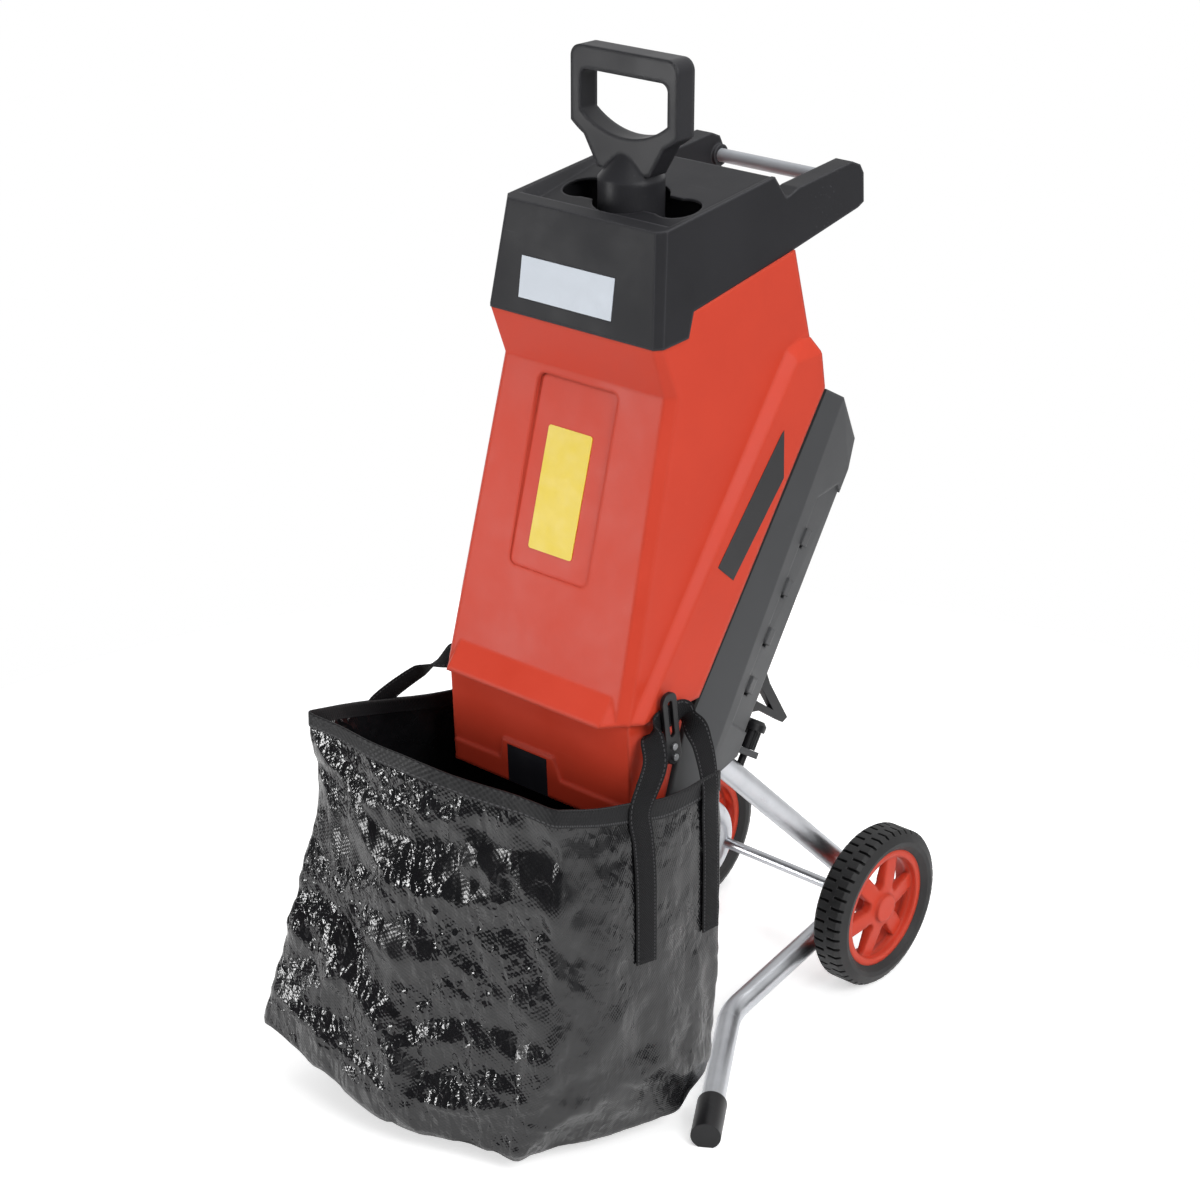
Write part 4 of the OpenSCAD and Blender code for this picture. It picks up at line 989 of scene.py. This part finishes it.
loose_patch = math_node(tree, "MULTIPLY", patch, straighter)
fine = math_node(tree, "MULTIPLY", glints, math_node(tree, "MULTIPLY", loose_patch, GLINT_SHARE))
tree.links.new(math_node(tree, "MULTIPLY_ADD", facets, straighter, fine), g_out.inputs["Height"])
tree.links.new(loose_patch, g_out.inputs["Patch"])
print("group", crinkle_group.name)

# %% Stitch group
# A row of thread: short dashes at one distance across the cloth.
STITCHES_PER_M = 250.0
THREAD_HALF = 0.0006
# A sine beats once a stitch; the thread shows where the sine is above this.
DASH_STARTS = -0.3
stitch_group, g_in, g_out = new_group(
    "stitch_row", {"Across": 0.0, "Along": 0.0, "Row at": 0.003}, {"Mask": VALUE})
tree = stitch_group
off_row = math_node(tree, "SUBTRACT", g_in.outputs["Across"], g_in.outputs["Row at"])
on_row = math_node(tree, "LESS_THAN", math_node(tree, "ABSOLUTE", off_row), THREAD_HALF)
stitch_turn = math_node(tree, "MULTIPLY", g_in.outputs["Along"], 2 * math.pi * STITCHES_PER_M)
dash = math_node(tree, "GREATER_THAN", math_node(tree, "SINE", stitch_turn), DASH_STARTS)
tree.links.new(math_node(tree, "MULTIPLY", on_row, dash), g_out.inputs["Mask"])
print("group", stitch_group.name)

# %% Bag cloth, hem and webbing


def stitched(tree, row, along):
    """Mask of a stitch row: this far down the cloth if it runs along X, or near both edges of a tape."""
    axes = cloth_axes(tree)
    stitches = use_group(tree, stitch_group, Row_at=row)
    across = axes["Y"] if along == "X" else math_node(tree, "ABSOLUTE", axes["X"])
    tree.links.new(across, stitches.inputs["Across"])
    tree.links.new(axes[along], stitches.inputs["Along"])
    return stitches.outputs["Mask"]


THREAD = colour(66, 66, 68)
CLOTH_SPREAD = 0.1
CRINKLE_SHINE = -0.12
WEAVE_STRENGTH = 0.6


def cloth_finish(name, base, drift, roughness, gloss, weave_depth, crinkle_depth, strips,
                 stitch_row=None, along="X"):
    material, tree, shader = surface_material(name)
    grain_node = use_group(tree, grain_group, Grain_per_m=300.0, Blotch_per_m=26.0)
    weave = use_group(tree, weave_group, Strips_per_m=strips)
    crinkle = use_group(tree, crinkle_group)
    shade = mix_colour(tree, grain_node.outputs["Blotch"], base, drift)
    if stitch_row is not None:
        shade = mix_colour(tree, stitched(tree, stitch_row, along), shade, THREAD)
    tree.links.new(shade, shader.inputs["Base Color"])
    uneven = uneven_roughness(tree, grain_node.outputs["Blotch"], roughness, CLOTH_SPREAD)
    shining = math_node(tree, "MULTIPLY_ADD", crinkle.outputs["Patch"], CRINKLE_SHINE, uneven)
    tree.links.new(shining, shader.inputs["Roughness"])
    folded = bump(tree, crinkle.outputs["Height"], crinkle_depth, 1.0)
    woven = bump(tree, weave.outputs["Height"], weave_depth, WEAVE_STRENGTH, folded)
    tree.links.new(woven, shader.inputs["Normal"])
    shader.inputs["Specular IOR Level"].default_value = gloss
    return material


bag_cloth = cloth_finish("bag_cloth", colour(17, 17, 19), colour(24, 24, 26), roughness=0.22, gloss=0.5,
                         weave_depth=0.00012, crinkle_depth=0.005, strips=520.0)
hem_cloth = cloth_finish("hem_cloth", colour(20, 20, 22), colour(26, 26, 28), roughness=0.55, gloss=0.3,
                         weave_depth=0.0003, crinkle_depth=0.0008, strips=420.0, stitch_row=0.0026, along="X")
webbing = cloth_finish("webbing", colour(20, 20, 22), colour(26, 26, 28), roughness=0.72, gloss=0.2,
                       weave_depth=0.0006, crinkle_depth=0.0002, strips=700.0, stitch_row=0.0094, along="Y")
bag.data.materials.append(bag_cloth)
hem.data.materials.append(hem_cloth)
strap_right.data.materials.append(webbing)
strap_left.data.materials.append(webbing)
print("cloth finishes:", bag_cloth.name, hem_cloth.name, webbing.name)

# %% The cloth pieces stand for their solids
cloth_pieces = [(bag, "bag_body", "bag_cloth"), (hem, "bag_hem", "bag_cloth"),
                (strap_right, "strap_right", "webbing"), (strap_left, "strap_left", "webbing")]
for piece, node_name, slot in cloth_pieces:
    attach(piece, "machine")
    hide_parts(node_name)
print("cloth pieces ride on the machine")
